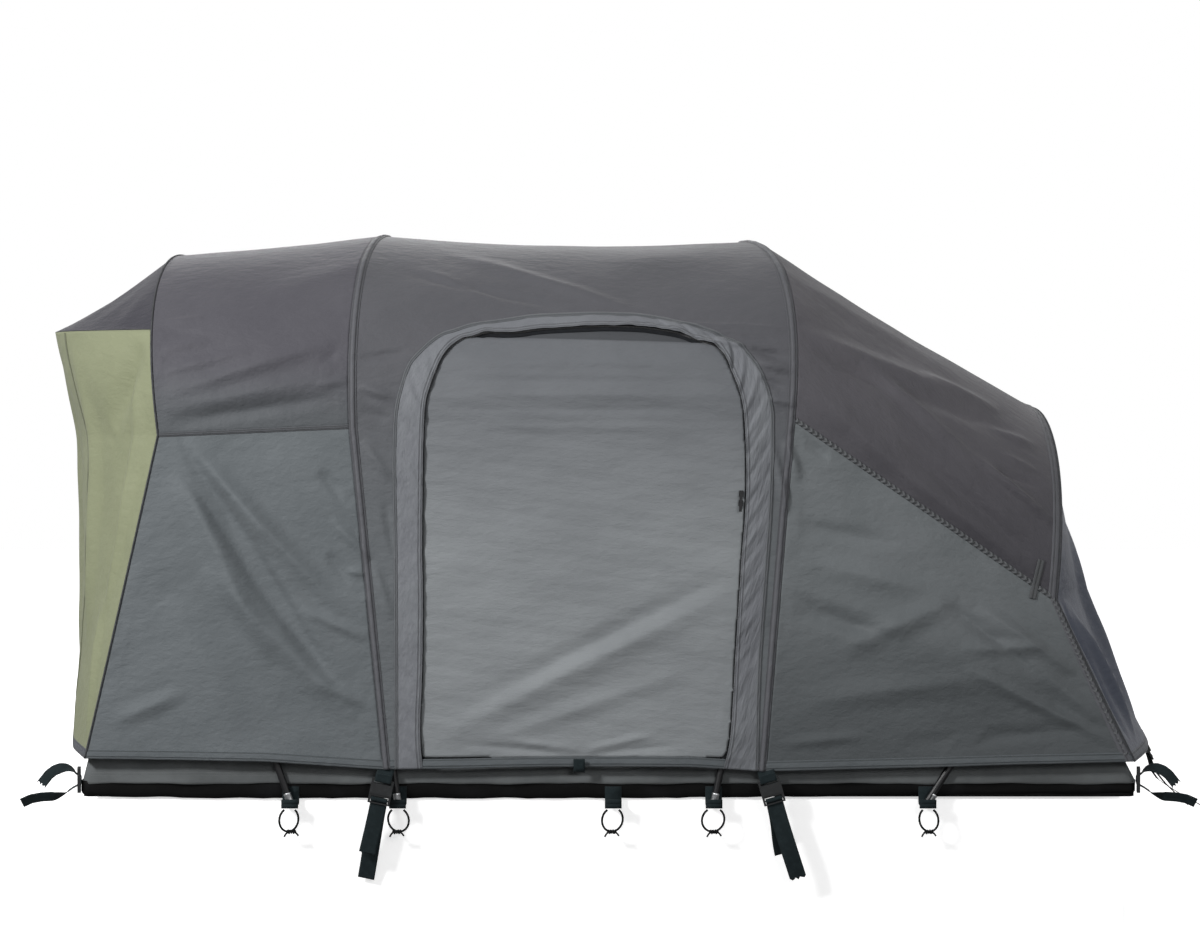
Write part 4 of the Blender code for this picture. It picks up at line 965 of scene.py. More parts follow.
def fly(bay, u, t, lift=0.0):
    """Points of the fly's outer face with its folds, or lifted from it along its own slope."""
    u, t = np.broadcast_arrays(np.asarray(u, float), np.asarray(t, float))
    step = 0.002
    points = bay_sheet(HOOPS, bay, FLY, u, t)
    low, high = np.clip(t - step, 0, 2), np.clip(t + step, 0, 2)
    up = bay_sheet(HOOPS, bay, FLY, u, high) - bay_sheet(HOOPS, bay, FLY, u, low)
    over = bay_sheet(HOOPS, bay, FLY, u + step, t) - bay_sheet(HOOPS, bay, FLY, u - step, t)
    height = fly_folds(bay, u, t, points) + lift
    points = points + unit(np.cross(over, up)) * height[..., None]
    low_part = np.clip(1 - np.minimum(t, 2 - t) / SHOULDER, 0, 1) ** 2
    points[..., 2] += low_part * np.interp(points[..., 0], *zip(*HEM_LINE))
    return points


RIPSTOP = 0.006
STITCH = 0.0042


def weave(across, along, thread):
    """Fine threads of a width, and the ripstop squares over them."""
    threads = (across * (2 * math.pi / thread)).sine() * (along * (2 * math.pi / thread)).sine()
    edges = abs(across.repeat(RIPSTOP) - 0.5).either(abs(along.repeat(RIPSTOP) - 0.5))
    return threads, edges.ramp(0.44, 0.49)


def woven(name, colour, dark, roughness=0.60, rows=(), grain=1.0, fade=()):
    """Coated polyester: fine threads with a ripstop square, small creases and a drifting colour.
    rows are lines of stitching, each that far along the cloth's own map. fade paints light that
    changes with height into the colour: the height under which the cloth has its third colour, the height
    where that ends, and the colour."""
    made = Finish(name)
    across, along, sheet = made.cloth_map()
    broad = made.noise(sheet, 4.5, 5.0, 0.6)
    crease = made.noise(made.stretch(sheet, (1.0, 1.7, 1.0), 28.0), 26.0, 5.0, 0.62)
    thread, square = weave(across, along, 0.0011)
    shade = made.mix(broad.ramp(0.25, 0.78), dark, colour)
    shade = made.mix(square * 0.10, shade, dark)
    # Painted light: under a height the colour turns to a third one, as painted shade low on some panels and
    # as a painted reflection that changes with height on others.
    if fade:
        shade = made.mix(1 - made.place_on("Z").ramp(fade[0], fade[1]), shade, fade[2])
    height = crease * (0.0034 * grain) + broad * 0.006 + thread * 0.00002 + square * 0.00003
    if rows:
        line = abs(along - rows[0])
        for row in rows[1:]:
            line = line.within(abs(along - row))
        groove = 1 - line.ramp(0.0004, 0.0026)
        dash = (1 - line.ramp(0.0003, 0.0008)) * across.repeat(STITCH).below(0.62)
        # Painted shade: each stitch row's groove is darkened as well as sunk.
        shade = made.mix(groove * 0.55, shade, tuple(part * 0.30 for part in dark))
        shade = made.mix(dash * 0.35, shade, colour)
        height = height - groove * 0.0011 + dash * 0.0003
    made.set(
        base_color=shade,
        roughness=roughness + 0.14 * crease,
        sheen_weight=0.12,
        sheen_roughness=0.45,
        specular_ior_level=0.26,
        normal=made.bump(height, 1.0),
    )
    return made.material


# Painted reflection: the roof turns from grey-green low down to a darker purple higher up, a reflection
# painted into its colour.
ROOF_CLOTH = woven(
    "dark roof cloth", (0.080, 0.078, 0.090), (0.068, 0.066, 0.078), 0.56,
    fade=(0.84, 1.02, (0.084, 0.091, 0.098)),
)
# Painted shade: the foot roof darkens towards its lower edge.
FOOT_ROOF_CLOTH = woven(
    "dark foot roof cloth", (0.095, 0.091, 0.101), (0.076, 0.073, 0.083), 0.52,
    fade=(0.45, 1.0, (0.050, 0.048, 0.056)),
)
BROW_CLOTH = woven("dark brow cloth", (0.036, 0.035, 0.044), (0.030, 0.029, 0.038), 0.56)
WALL_CLOTH = woven("grey wall cloth", (0.128, 0.142, 0.151), (0.106, 0.119, 0.127), 0.60)
# Painted shade: the foot wall darkens towards the hem, where its bulging lower half faces down.
FOOT_WALL_CLOTH = woven(
    "grey foot wall cloth", (0.158, 0.171, 0.179), (0.126, 0.139, 0.145), 0.56,
    fade=(0.08, 0.60, (0.072, 0.080, 0.085)),
)

NEAR_WALL, FAR_WALL, ROOF = (0, SHOULDER), (2 - SHOULDER, 2), (SHOULDER, 2 - SHOULDER)
for node, bay, span, (columns, rows), material in (
    ("roof_head", 0, ROOF, (92, 200), ROOF_CLOTH),
    ("roof_foot", 2, ROOF, (120, 200), FOOT_ROOF_CLOTH),
    ("wall_head_near", 0, NEAR_WALL, (110, 130), WALL_CLOTH),
    ("wall_head_far", 0, FAR_WALL, (80, 90), WALL_CLOTH),
    ("wall_foot_near", 2, NEAR_WALL, (140, 110), FOOT_WALL_CLOTH),
    ("wall_foot_far", 2, FAR_WALL, (100, 80), FOOT_WALL_CLOTH),
    ("wall_middle_far", 1, FAR_WALL, (130, 100), WALL_CLOTH),
):
    slot = "roof_cloth" if span == ROOF else "wall_cloth"
    us, ts = between(0, 1, columns)[None, :], between(*span, rows)[:, None]
    cut = bay_sheet(HOOPS, bay, FLY, us, ts)
    shape = cloth_shape(fly(bay, us, ts), cut)
    add_sheet(f"fly_{node}", shape, material, FLY_THICKNESS, node, cut)


# Ends of the fly: an olive panel at the head that flares out under the brow, and a grey one at the
# foot that stands a hand's width off the hoop. The brow is a small roof sewn to the head hoop.
BROW_HEIGHT = 1.070
BROW_REACH = 0.311
BROW_SAG = 0.010
# How far each end stands off its hoop at the hem, at the shoulder and at its top
HEAD_BULGES = (0.118, 0.284, 0.311)
FOOT_BULGES = (0.125, 0.165, 0.0)
HEM_CORNER_POWER = 2.2
TOP_CORNER_POWER = 2.6
HEAD_TENSION = 0.022
FOOT_TENSION = 0.036
# Folds of an end panel, from (across, height) to (across, height): across is 1 at the near edge
OLIVE_FOLDS = (
    ((0.97, 1.04), (0.80, 0.84), 0.060, -0.010),
    ((0.93, 0.98), (0.90, 0.40), 0.040, 0.006),
    ((0.60, 1.03), (0.72, 0.30), 0.090, 0.008),
    ((0.20, 1.03), (0.30, 0.20), 0.120, 0.007),
    ((-0.25, 1.03), (-0.15, 0.25), 0.120, 0.007),
    ((-0.65, 1.03), (-0.72, 0.30), 0.090, 0.008),
    ((0.86, 0.45), (0.95, 0.12), 0.050, 0.006),
)
END_FOLDS = (
    ((0.90, 0.42), (0.80, 0.12), 0.050, 0.010),
    ((0.96, 0.46), (0.93, 0.12), 0.034, -0.006),
    ((0.55, 0.62), (0.60, 0.14), 0.090, 0.010),
    ((0.10, 0.70), (0.05, 0.16), 0.120, 0.009),
    ((-0.40, 0.66), (-0.50, 0.14), 0.100, 0.010),
    ((-0.85, 0.44), (-0.80, 0.12), 0.060, 0.010),
)


def end_reach(hoop, bulges, top_t, outward, t):
    """How far an end panel's middle stands off its edge at t: the straight rule of its seams, drawn
    in by the cloth's tension and eased over the shoulder."""
    hem, shoulder, top = bulges
    ts = between(0, top_t, 300)
    left = np.clip((top_t - ts) / (top_t - SHOULDER), 0, 1)
    below = hem + (shoulder - hem) * ts / SHOULDER
    straight = np.where(ts < SHOULDER, below, top + (shoulder - top) * left**2)
    edge = hoop_line(hoop, FLY, ts)
    part = (edge[:, 2] - edge[0, 2]) / (edge[-1, 2] - edge[0, 2])
    tension = HEAD_TENSION if outward < 0 else FOOT_TENSION
    reach = outward * edge[:, 0] + straight - tension * np.sin(math.pi * part) ** 0.8
    even, spread = between(0, 1, 240), 30
    line = np.interp(even, part, reach)
    padded = np.concatenate([
        2 * line[0] - line[spread:0:-1], line, 2 * line[-1] - line[-2:-spread - 2:-1]
    ])
    # A bell-shaped average rounds the rule's corners
    bell = np.exp(-(between(-2.4, 2.4, 2 * spread) ** 2) / 2)
    eased = np.convolve(padded, bell / bell.sum(), "valid")
    here = hoop_line(hoop, FLY, t)
    at = (here[..., 2] - edge[0, 2]) / (edge[-1, 2] - edge[0, 2])
    return np.interp(at, even, eased) - outward * here[..., 0]


def end_sheet(hoop, bulges, top_t, outward, s, v):
    """Points of an end panel: s runs from 1 at the near edge to -1, and v up its edge from 0 to 1."""
    s, v = np.broadcast_arrays(np.asarray(s, float), np.asarray(v, float))
    t = v * top_t
    edge = hoop_line(hoop, FLY, t)
    power = HEM_CORNER_POWER + (TOP_CORNER_POWER - HEM_CORNER_POWER) * np.sqrt(v)
    out = end_reach(hoop, bulges, top_t, outward, t) * (1 - np.abs(s) ** power)
    return np.stack([edge[..., 0] + outward * out, edge[..., 1] * s, edge[..., 2]], axis=-1)


def end_cloth(hoop, bulges, top_t, outward, s, v, folds, lift=0.0):
    """The same points with their folds, or lifted from them."""
    step = 0.004
    rule = (hoop, bulges, top_t, outward)
    s, v = np.broadcast_arrays(np.asarray(s, float), np.asarray(v, float))
    points = end_sheet(*rule, s, v)
    low, high = np.clip(v - step, 0, 1), np.clip(v + step, 0, 1)
    up = end_sheet(*rule, s, high) - end_sheet(*rule, s, low)
    inner = s * 0.995
    over = end_sheet(*rule, inner + step, v) - end_sheet(*rule, inner - step, v)
    out = np.cross(up, over) * outward
    out /= np.maximum(np.linalg.norm(out, axis=-1, keepdims=True), 1e-9)
    fade = np.clip((1 - np.abs(s)) / 0.03, 0, 1) * np.clip((1 - v) / 0.05, 0, 1)
    height = fold_height(s, points[..., 2], folds)
    height += wave(s * 0.6 + points[..., 2], (0.0014, 0.41, 0.0), (0.0007, 0.17, 1.0))
    points = points + out * (height * fade + lift)[..., None]
    low_part = np.clip(1 - v * top_t / SHOULDER, 0, 1) ** 2
    points[..., 2] += low_part * np.interp(points[..., 0], *zip(*HEM_LINE))
    return points


def spread_to_edges(steps):
    """Steps from 1 to -1, closer together towards both edges."""
    return np.cos(between(0, math.pi, steps)) * 0.35 + between(1, -1, steps) * 0.65


rise = (BROW_HEIGHT - HEAD_HOOP["low"]) / (HEAD_HOOP["high"] - HEAD_HOOP["low"])
BROW_T = SHOULDER + (1 - SHOULDER) * math.asin(rise ** (ARCH_POWER / 2)) / (math.pi / 2)
olive = woven("olive cloth", (0.245, 0.262, 0.163), (0.212, 0.228, 0.140), 0.60, grain=0.7)
foot_end = woven("grey foot end cloth", (0.074, 0.084, 0.114), (0.056, 0.064, 0.088), 0.48)
s, v = spread_to_edges(150)[None, :], between(0, 1, 110)[:, None]
HEAD_END = (HEAD_HOOP, HEAD_BULGES, BROW_T, -1)
FOOT_END = (FOOT_HOOP, FOOT_BULGES, 1.0, 1)
for end_name, rule, top, folds, material, slot in (
    ("head", HEAD_END, 0.9985, OLIVE_FOLDS, olive, "olive_cloth"),
    ("foot", FOOT_END, 1.0, END_FOLDS, foot_end, "wall_cloth"),
):
    cut = end_sheet(*rule, s, v * top)
    shape = cloth_shape(end_cloth(*rule, s, v * top, folds), cut)
    bmesh.ops.remove_doubles(shape, verts=shape.verts, dist=0.0001)
    bmesh.ops.recalc_face_normals(shape, faces=shape.faces)
    middle = max(shape.faces, key=lambda face: abs(face.calc_center_median().x))
    if middle.normal.x * middle.calc_center_median().x < 0:
        bmesh.ops.reverse_faces(shape, faces=shape.faces)
    add_sheet(
        f"fly_end_{end_name}", shape, material, FLY_THICKNESS, f"end_panel_{end_name}",
        cut,
    )


def brow_sheet(s, v):
    """Points of the brow: s across from 1, near, to -1, and v from its rim back to the head hoop."""
    s, v = np.broadcast_arrays(np.asarray(s, float), np.asarray(v, float))
    start = hoop_line(HEAD_HOOP, FLY, np.array(BROW_T))
    out = BROW_REACH * (1 - np.abs(s) ** TOP_CORNER_POWER)
    rim = np.stack([start[0] - out, start[1] * s, np.full(s.shape, start[2])], axis=-1)
    back = hoop_line(HEAD_HOOP, FLY, 1 - s * (1 - BROW_T))
    return rim + (back - rim) * v[..., None]


s, v = 0.998 * spread_to_edges(130)[None, :], between(0, 1, 60)[:, None]
cut = brow_sheet(s, v)
points = cut.copy()
mid = np.sin(math.pi * v) * (1 - np.abs(s) ** 8)
points[..., 2] -= BROW_SAG * mid * (1 - 0.35 * np.cos(math.pi * s * 3))
points[..., 2] += mid * wave(s * 0.5 + v * 0.12, (0.003, 0.22, 0.3), (0.0015, 0.09, 1.2))
shape = cloth_shape(points, cut)
bmesh.ops.remove_doubles(shape, verts=shape.verts, dist=0.0001)
bmesh.ops.recalc_face_normals(shape, faces=shape.faces)
if max(shape.faces, key=lambda face: face.calc_area()).normal.z < 0:
    bmesh.ops.reverse_faces(shape, faces=shape.faces)
add_sheet(
    "fly_brow", shape, BROW_CLOTH, FLY_THICKNESS, "brow", cut, even=False
)


# Door bay: roof and near wall between the two door hoops, cut in one piece of the same cloth. Its
# arched opening has its edge under the storm flap.
ARCH_OUTER = (
    (-0.480, 0.078), (-0.483, 0.545), (-0.489, 0.782), (-0.485, 0.882), (-0.476, 0.925),
    (-0.459, 0.982), (-0.443, 1.005), (-0.392, 1.054), (-0.349, 1.066), (-0.315, 1.080),
    (-0.255, 1.088), (-0.214, 1.094), (-0.170, 1.101), (-0.057, 1.105), (0.031, 1.104),
    (0.075, 1.100), (0.123, 1.094), (0.171, 1.082), (0.235, 1.066), (0.265, 1.052),
    (0.299, 1.034), (0.323, 1.008), (0.345, 0.976), (0.361, 0.937), (0.370, 0.896),
    (0.374, 0.862), (0.368, 0.651), (0.354, 0.482), (0.346, 0.387), (0.339, 0.275), (0.334, 0.078),
)
ARCH_INNER = (
    (-0.421, 0.078), (-0.428, 0.159), (-0.422, 0.284), (-0.421, 0.482), (-0.424, 0.545),
    (-0.423, 0.782), (-0.419, 0.898), (-0.410, 0.932), (-0.386, 0.999), (-0.364, 1.028),
    (-0.339, 1.047), (-0.312, 1.052), (-0.282, 1.064), (-0.254, 1.062), (-0.202, 1.063),
    (-0.163, 1.070), (-0.057, 1.075), (0.072, 1.075), (0.107, 1.070), (0.164, 1.061),
    (0.193, 1.047), (0.219, 1.038), (0.248, 1.030), (0.266, 1.008), (0.279, 0.978),
    (0.292, 0.944), (0.301, 0.919), (0.308, 0.880), (0.310, 0.848), (0.314, 0.730),
    (0.309, 0.630), (0.302, 0.558), (0.297, 0.482), (0.290, 0.387), (0.285, 0.302),
    (0.280, 0.208), (0.273, 0.132), (0.259, 0.078),
)


def rounded(points, rounds=2):
    """The same open line with its corners worn round, its ends kept."""
    points = np.array(points, float)
    for _ in range(rounds):
        cut = np.empty((2 * len(points) - 2, points.shape[1]))
        cut[0::2] = points[:-1] * 0.75 + points[1:] * 0.25
        cut[1::2] = points[:-1] * 0.25 + points[1:] * 0.75
        points = np.concatenate([points[:1], cut, points[-1:]])
    return points


def square_to(line):
    """Which way is outwards, square to a line of (x, z) round the door."""
    way = unit(np.gradient(line, axis=0))
    return np.stack([-way[:, 1], way[:, 0]], axis=1)


def grown(outline, by):
    """An outline moved outwards by so much."""
    outline = np.array(outline, float)
    return outline + square_to(outline) * by


def stages(start, *ends):
    """Steps on from a start through stages, each of an end and a number of steps."""
    parts = []
    for end, steps in ends:
        parts.append(between(start, end, steps)[:-1])
        start = end
    return np.append(np.concatenate(parts), start)


ts, us = stages(0, (SHOULDER, 130), (1, 110), (1.5, 70)), between(0, 1, 150)
cut = bay_sheet(HOOPS, 1, FLY, us[None, :], ts[:, None])
shape = cloth_shape(fly(1, us[None, :], ts[:, None]), cut)
hole = rounded(grown(ARCH_OUTER, -0.006))
hole[0, 1] = hole[-1, 1] = 0.0
trim(shape, hole, inside=False)
# Painted reflection: the door bay is grey-green low down and turns darker and purplish towards its roof.
door_bay_cloth = woven(
    "grey door bay cloth", (0.090, 0.090, 0.100), (0.078, 0.079, 0.088), 0.56,
    fade=(0.50, 1.08, (0.112, 0.122, 0.130)),
)
add_sheet(
    "fly_door_bay", shape, door_bay_cloth, FLY_THICKNESS, "roof_middle",
    cut,
)


# Hem: the fly's lower edge is turned up twice and sewn down with two rows of stitches. It goes all
# round the tent as a slightly raised band.
HEM_BAND = 0.022
HEM_LIFT = 0.0012
HEM_ROWS = (0.0045, 0.0185)


def bay_hem(bay, us, heights, far, lift):
    """A band along a bay's hem: its points, and where they would be without folds."""
    low = HOOPS[bay]["low"] + (HOOPS[bay + 1]["low"] - HOOPS[bay]["low"]) * us
    ts = SHOULDER * heights[:, None] / (low - FLY[1])[None, :]
    ts = 2 - ts if far else ts
    return fly(bay, us[None, :], ts, lift), bay_sheet(HOOPS, bay, FLY, us[None, :], ts)


hem_wall = woven("grey wall hem", (0.108, 0.120, 0.128), (0.090, 0.102, 0.110), 0.60, HEM_ROWS)
hem_end = woven("grey end hem", (0.062, 0.068, 0.082), (0.050, 0.056, 0.068), 0.52, HEM_ROWS)
heights = between(0, HEM_BAND, 5)
roll = HEM_LIFT * np.sin(np.clip(heights / HEM_BAND, 0.12, 0.9) * math.pi) ** 0.4
for side_name, _ in SIDES:
    bays = [
        bay_hem(bay, between(0, 1, steps), heights, side_name == "far", roll[:, None])
        for bay, steps in ((0, 120), (1, 150), (2, 150))
    ]
    points, cut = (np.concatenate([part[:, 1:] if bay else part for bay, part in enumerate(parts)], axis=1)
                   for parts in zip(*bays))
    if side_name == "far":
        points, cut = points[:, ::-1], cut[:, ::-1]
    shape = cloth_shape(points, cut)
    add_sheet(f"hem_{side_name}", shape, hem_wall, FLY_THICKNESS, None, cut)
for end_name, rule, folds in (("head", HEAD_END, OLIVE_FOLDS), ("foot", FOOT_END, END_FOLDS)):
    hoop, _, top_t, _ = rule
    vs = heights[:, None] * SHOULDER / (hoop["low"] - FLY[1]) / top_t
    s = 0.9995 * spread_to_edges(150)[None, :]
    points = end_cloth(*rule, s, vs, folds, roll[:, None])
    cut = end_sheet(*rule, s, vs)
    if rule[3] < 0:
        points, cut = points[:, ::-1], cut[:, ::-1]
    shape = cloth_shape(points, cut)
    add_sheet(f"hem_{end_name}", shape, hem_end, FLY_THICKNESS, None, cut)


# Seams: the pole sleeves over the two door hoops are strips sewn down along both edges; roof and
# wall panels meet in flat felled seams; the slanting one at the foot is gathered by its stitches.
SLEEVE_WIDTH = 0.019
SLEEVE_LIFT = 0.0036
FELL_WIDTH = 0.009
RUCHE_WIDTH = 0.012
RUCHE_PITCH = 0.0135


def add_strip(name, points, cut, material):
    shape = cloth_shape(points, cut)
    add_sheet(name, shape, material, FLY_THICKNESS, None, cut)


sleeve_cloth = woven(
    "pole sleeve cloth", (0.104, 0.106, 0.116), (0.088, 0.090, 0.100), 0.56,
    (0.0032, SLEEVE_WIDTH - 0.0032),
)
breadth = between(0, 1, 8)
swell = 0.0012 + SLEEVE_LIFT * np.sin(math.pi * np.clip((breadth - 0.16) / 0.68, 0, 1)) ** 0.8
run = stages(0, (SHOULDER, 150), (1.5, 240), (2, 90))
for name, bay, start, way in (
    ("sleeve_door_left", 1, 0.0, 1), ("sleeve_door_right", 1, 1.0, -1), ("sleeve_foot", 2, 1.0, -1)
):
    width = HOOPS[bay + 1]["shoulder"] - HOOPS[bay]["shoulder"]
    us = start + way * breadth * SLEEVE_WIDTH / width
    us, ts = np.broadcast_arrays(us[:, None], run[None, :])
    flat = 0.45 if name == "sleeve_foot" else 1.0
    lift = flat * swell[:, None] + 0.0003 * np.sin(ts * 190) * (swell[:, None] > 0.002)
    points, cut = fly(bay, us, ts, lift), bay_sheet(HOOPS, bay, FLY, us, ts)
    if way > 0:
        points, cut = points[::-1], cut[::-1]
    add_strip(name, points, cut, sleeve_cloth)

FELL_ROWS = (0.0022, 0.0068)
fell_cloth = woven("felled seam cloth", (0.096, 0.100, 0.108), (0.080, 0.084, 0.092), 0.56, FELL_ROWS)
for name, bay, middle in (("seam_head_near", 0, SHOULDER), ("seam_head_far", 0, 2 - SHOULDER)):
    us = between(0, 1, 130)
    ts = middle + between(-1, 1, 5) * FELL_WIDTH / 2 / 1.6
    us, ts = np.broadcast_arrays(us[None, :], ts[:, None])
    lift = np.array((0.0004, 0.0011, 0.0013, 0.0013, 0.0011, 0.0004))[:, None]
    add_strip(name, fly(bay, us, ts, lift), bay_sheet(HOOPS, bay, FLY, us, ts), fell_cloth)


def ruched(name):
    """Cloth gathered by a zig-zag stitch: dark diagonals across the seam, painted shade in the hollows
    between its puckers, with the puckers' crests painted lighter.
    """
    made = Finish(name)
    across, along, sheet = made.cloth_map()
    uneven = made.noise(sheet, 55.0, 3.0, 0.6)
    side = abs(along * (2 / RUCHE_WIDTH) - 1)
    slant = (across + side * 0.006 + uneven * 0.006).repeat(RUCHE_PITCH)
    gather = 1 - abs(slant * 2 - 1)
    thread = (1 - abs(side - gather).ramp(0.05, 0.16)) * 0.7
    # Painted shade and highlight: the crests of the puckers lighter, the hollows between them darker.
    shade = made.mix(gather.ramp(0.25, 0.85), (0.058, 0.060, 0.064), (0.112, 0.118, 0.124))
    made.set(
        base_color=made.mix(thread * 0.25, shade, (0.028, 0.030, 0.032)),
        roughness=0.6 + 0.1 * uneven,
        specular_ior_level=0.35,
        normal=made.bump(gather * 0.0016 + uneven * 0.0008, 1.0),
    )
    return made.material


RUCHED = ruched("gathered seam")
for side_name, far in (("near", False), ("far", True)):
    leg = between(SHOULDER, 0.02, 90)
    shoulder_us = between(0.004, 0.985, 230)
    us = np.concatenate([shoulder_us, np.full(len(leg) - 1, 0.985)])
    ts = np.concatenate([np.full(len(shoulder_us), SHOULDER), leg[1:]])
    middle = bay_sheet(HOOPS, 2, FLY, us, ts)
    way = unit(np.gradient(middle, axis=0))
    square = np.stack([-way[:, 2], np.zeros(len(way)), way[:, 0]], axis=1)
    line = length_of(middle)
    rows, flat = [], []
    for part in between(-1, 1, 6):
        spot = middle + square * part * RUCHE_WIDTH / 2
        ruched_u, ruched_t = bay_place(HOOPS, 2, FLY, spot[:, 0], spot[:, 2])
        ruched_u, ruched_t = np.clip(ruched_u, 0, 1), np.clip(ruched_t, 0.002, 1)
        pucker = 0.0010 * np.sin(2 * math.pi * (line + abs(part) * 0.006) / RUCHE_PITCH)
        pucker = pucker * (1 - abs(part) ** 4)
        ruched_t = 2 - ruched_t if far else ruched_t
        rows.append(fly(2, ruched_u, ruched_t, 0.0016 * (1 - abs(part) ** 3) + 0.0004 + pucker))
        flat.append(bay_sheet(HOOPS, 2, FLY, ruched_u, ruched_t))
    rows, flat = np.array(rows), np.array(flat)
    if far:
        rows, flat = rows[::-1], flat[::-1]
    add_strip(f"seam_gathered_{side_name}", rows, flat, RUCHED)


# Piping: a dark bound cord in the seam between the end panels and the sides. It runs right round
# each end of the tent, along the hoop.
PIPING_RADIUS = 0.0024
piping_cloth = webbing("dark piping", (0.072, 0.074, 0.080), (0.046, 0.048, 0.052))
for name, bay, u in (("piping_head", 0, 0.0), ("piping_foot", 2, 1.0)):
    ts = stages(0, (SHOULDER, 90), (1.5, 170), (2, 90))
    middle = fly(bay, np.full(len(ts), u), ts, 0.0006)
    way = unit(np.gradient(middle, axis=0))
    square = unit(np.cross(way, np.broadcast_to((1.0, 0.0, 0.0), way.shape)))
    third = np.cross(way, square)
    turns = between(0, 2 * math.pi, 8)[:, None, None]
    points = middle[None] + PIPING_RADIUS * (square[None] * np.cos(turns) + third[None] * np.sin(turns))
    shape = cloth_shape(points)
    bmesh.ops.remove_doubles(shape, verts=shape.verts, dist=0.00001)
    bmesh.ops.holes_fill(shape, edges=[edge for edge in shape.edges if edge.is_boundary], sides=0)
    bmesh.ops.recalc_face_normals(shape, faces=shape.faces)
    piping = add_mesh(name, shape, piping_cloth)
    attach(piping, "tent")

# Panel seams of the olive end, where its two side pieces meet the middle one
olive_seam = woven("olive seam cloth", (0.150, 0.160, 0.102), (0.126, 0.136, 0.084), 0.60, FELL_ROWS)
for name, middle in (("end_seam_near", 0.54), ("end_seam_far", -0.54)):
    s = middle + between(1, -1, 4)[None, :] * FELL_WIDTH / 2 / 0.55
    v = between(0.004, 0.994, 150)[:, None]
    points = end_cloth(*HEAD_END, s, v, OLIVE_FOLDS, 0.0014)
    add_strip(name, points[:, ::-1], end_sheet(*HEAD_END, s, v)[:, ::-1], olive_seam)


# Storm flap: a strip sewn round the arch, its free edge standing off the door. It is gathered
# tightly round the right-hand side and lies nearly flat on the left.
FLAP_EDGE = 0.0065
FLAP_STEPS = 620
FLAP_LENGTH = 2.62
FLAP_LEAST = 0.0012
BINDING_WIDTH = 0.0084
PULL_BULGE = 0.0060  # how far the zip's lower pull pushes the flap out


def wall_points(line, lift):
    """Points on the door bay along a line of (x, z)."""
    line = np.asarray(line)
    u, t = bay_place(HOOPS, 1, FLY, line[..., 0], line[..., 1])
    return fly(1, u, np.clip(t, 0, 1), lift), bay_sheet(HOOPS, 1, FLY, u, np.clip(t, 0, 1))


outer = line_of(rounded(ARCH_OUTER, 2), FLAP_STEPS)
inner = line_of(rounded(ARCH_INNER, 2), FLAP_STEPS)
part = between(0, 1, 16)[:, None]
line = outer[None] + (inner - outer)[None] * part[..., None]
along = np.linspace(0, 1, FLAP_STEPS + 1)[None, :]
# Along the arch from its left foot: where the right-hand side and the crest begin, and the corner
# where the flap is gathered tightly
right = 1 / (1 + np.exp(-(along - 0.52) * 40))
crest = 1 / (1 + np.exp(-(along - 0.36) * 60))
tight = np.clip(1 - np.abs(along - 0.62) / 0.12, 0, 1)
tight = tight + 0.45 * np.clip(1 - np.abs(along - 0.80) / 0.22, 0, 1)
run = along * FLAP_LENGTH
lift = 0.0014 + FLAP_EDGE * np.sin(part * math.pi / 2) ** 1.4 * (0.55 + 0.45 * right)
left_folds = wave(run + part * 0.050, (0.0011, 0.083, 0.2), (0.0008, 0.041, 1.7)) * (1 - crest)
top_folds = wave(run + part * 0.020, (0.0007, 0.120, 1.0), (0.0006, 0.047, 0.4)) * crest * (1 - right)
right_folds = wave(run - part * 0.062, (0.0030, 0.064, 0.5), (0.0016, 0.029, 2.1)) * tight
right_folds += wave(run + part * 0.030, (0.0012, 0.110, 0.9), (0.0007, 0.051, 0.2)) * right
lift = lift + (left_folds + top_folds + right_folds) * np.sin(part * math.pi * 0.62) ** 0.8
lift = np.maximum(lift, FLAP_LEAST) + PULL_BULGE * part * np.exp(-(((along - 0.972) / 0.022) ** 2))
ends = np.clip(np.minimum(along, 1 - along) / 0.01, 0, 1)
lift = 0.0016 + (lift - 0.0016) * ends
points, cut = wall_points(line, lift)
flap_cloth = woven(
    "storm flap cloth", (0.180, 0.190, 0.204), (0.150, 0.156, 0.172), 0.52, (0.0030, 0.0095), grain=1.3
)
shape = cloth_shape(points[::-1], cut[::-1])
add_sheet(
    "storm_flap_arch", shape, flap_cloth, FLY_THICKNESS, "storm_flap", cut
)

# The binding over the flap's seam
edge = between(-1, 1, 6)[:, None]
line = outer[None] + square_to(outer)[None] * (edge * (BINDING_WIDTH / 2))[..., None]
points, cut = wall_points(line, 0.0018 + 0.0014 * (1 - np.abs(edge) ** 3))
binding_cloth = woven("flap binding cloth", (0.132, 0.140, 0.149), (0.108, 0.115, 0.124), 0.56, (0.0042,))
add_strip("flap_binding", points, cut, binding_cloth)

# A short strip of binding strengthens the end of the gathered seam, by the foot hoop
PATCH_HALF_WIDTH = 0.008
line = line_of([(0.987, 0.5416), (0.965, 0.4536)], 30)
way = (line[-1] - line[0]) / np.linalg.norm(line[-1] - line[0])
aside = np.array((way[1], -way[0]))[None, None] * between(-1, 1, 5)[:, None, None]
line = line[None] + aside * PATCH_HALF_WIDTH
u, t = bay_place(HOOPS, 2, FLY, line[..., 0], line[..., 1])
patch_cloth = woven("seam patch cloth", (0.088, 0.092, 0.094), (0.070, 0.074, 0.078), 0.6, (0.0080,))
points, cut = fly(2, u, t, 0.0016), bay_sheet(HOOPS, 2, FLY, u, t)
add_strip("seam_patch", points, cut, patch_cloth)

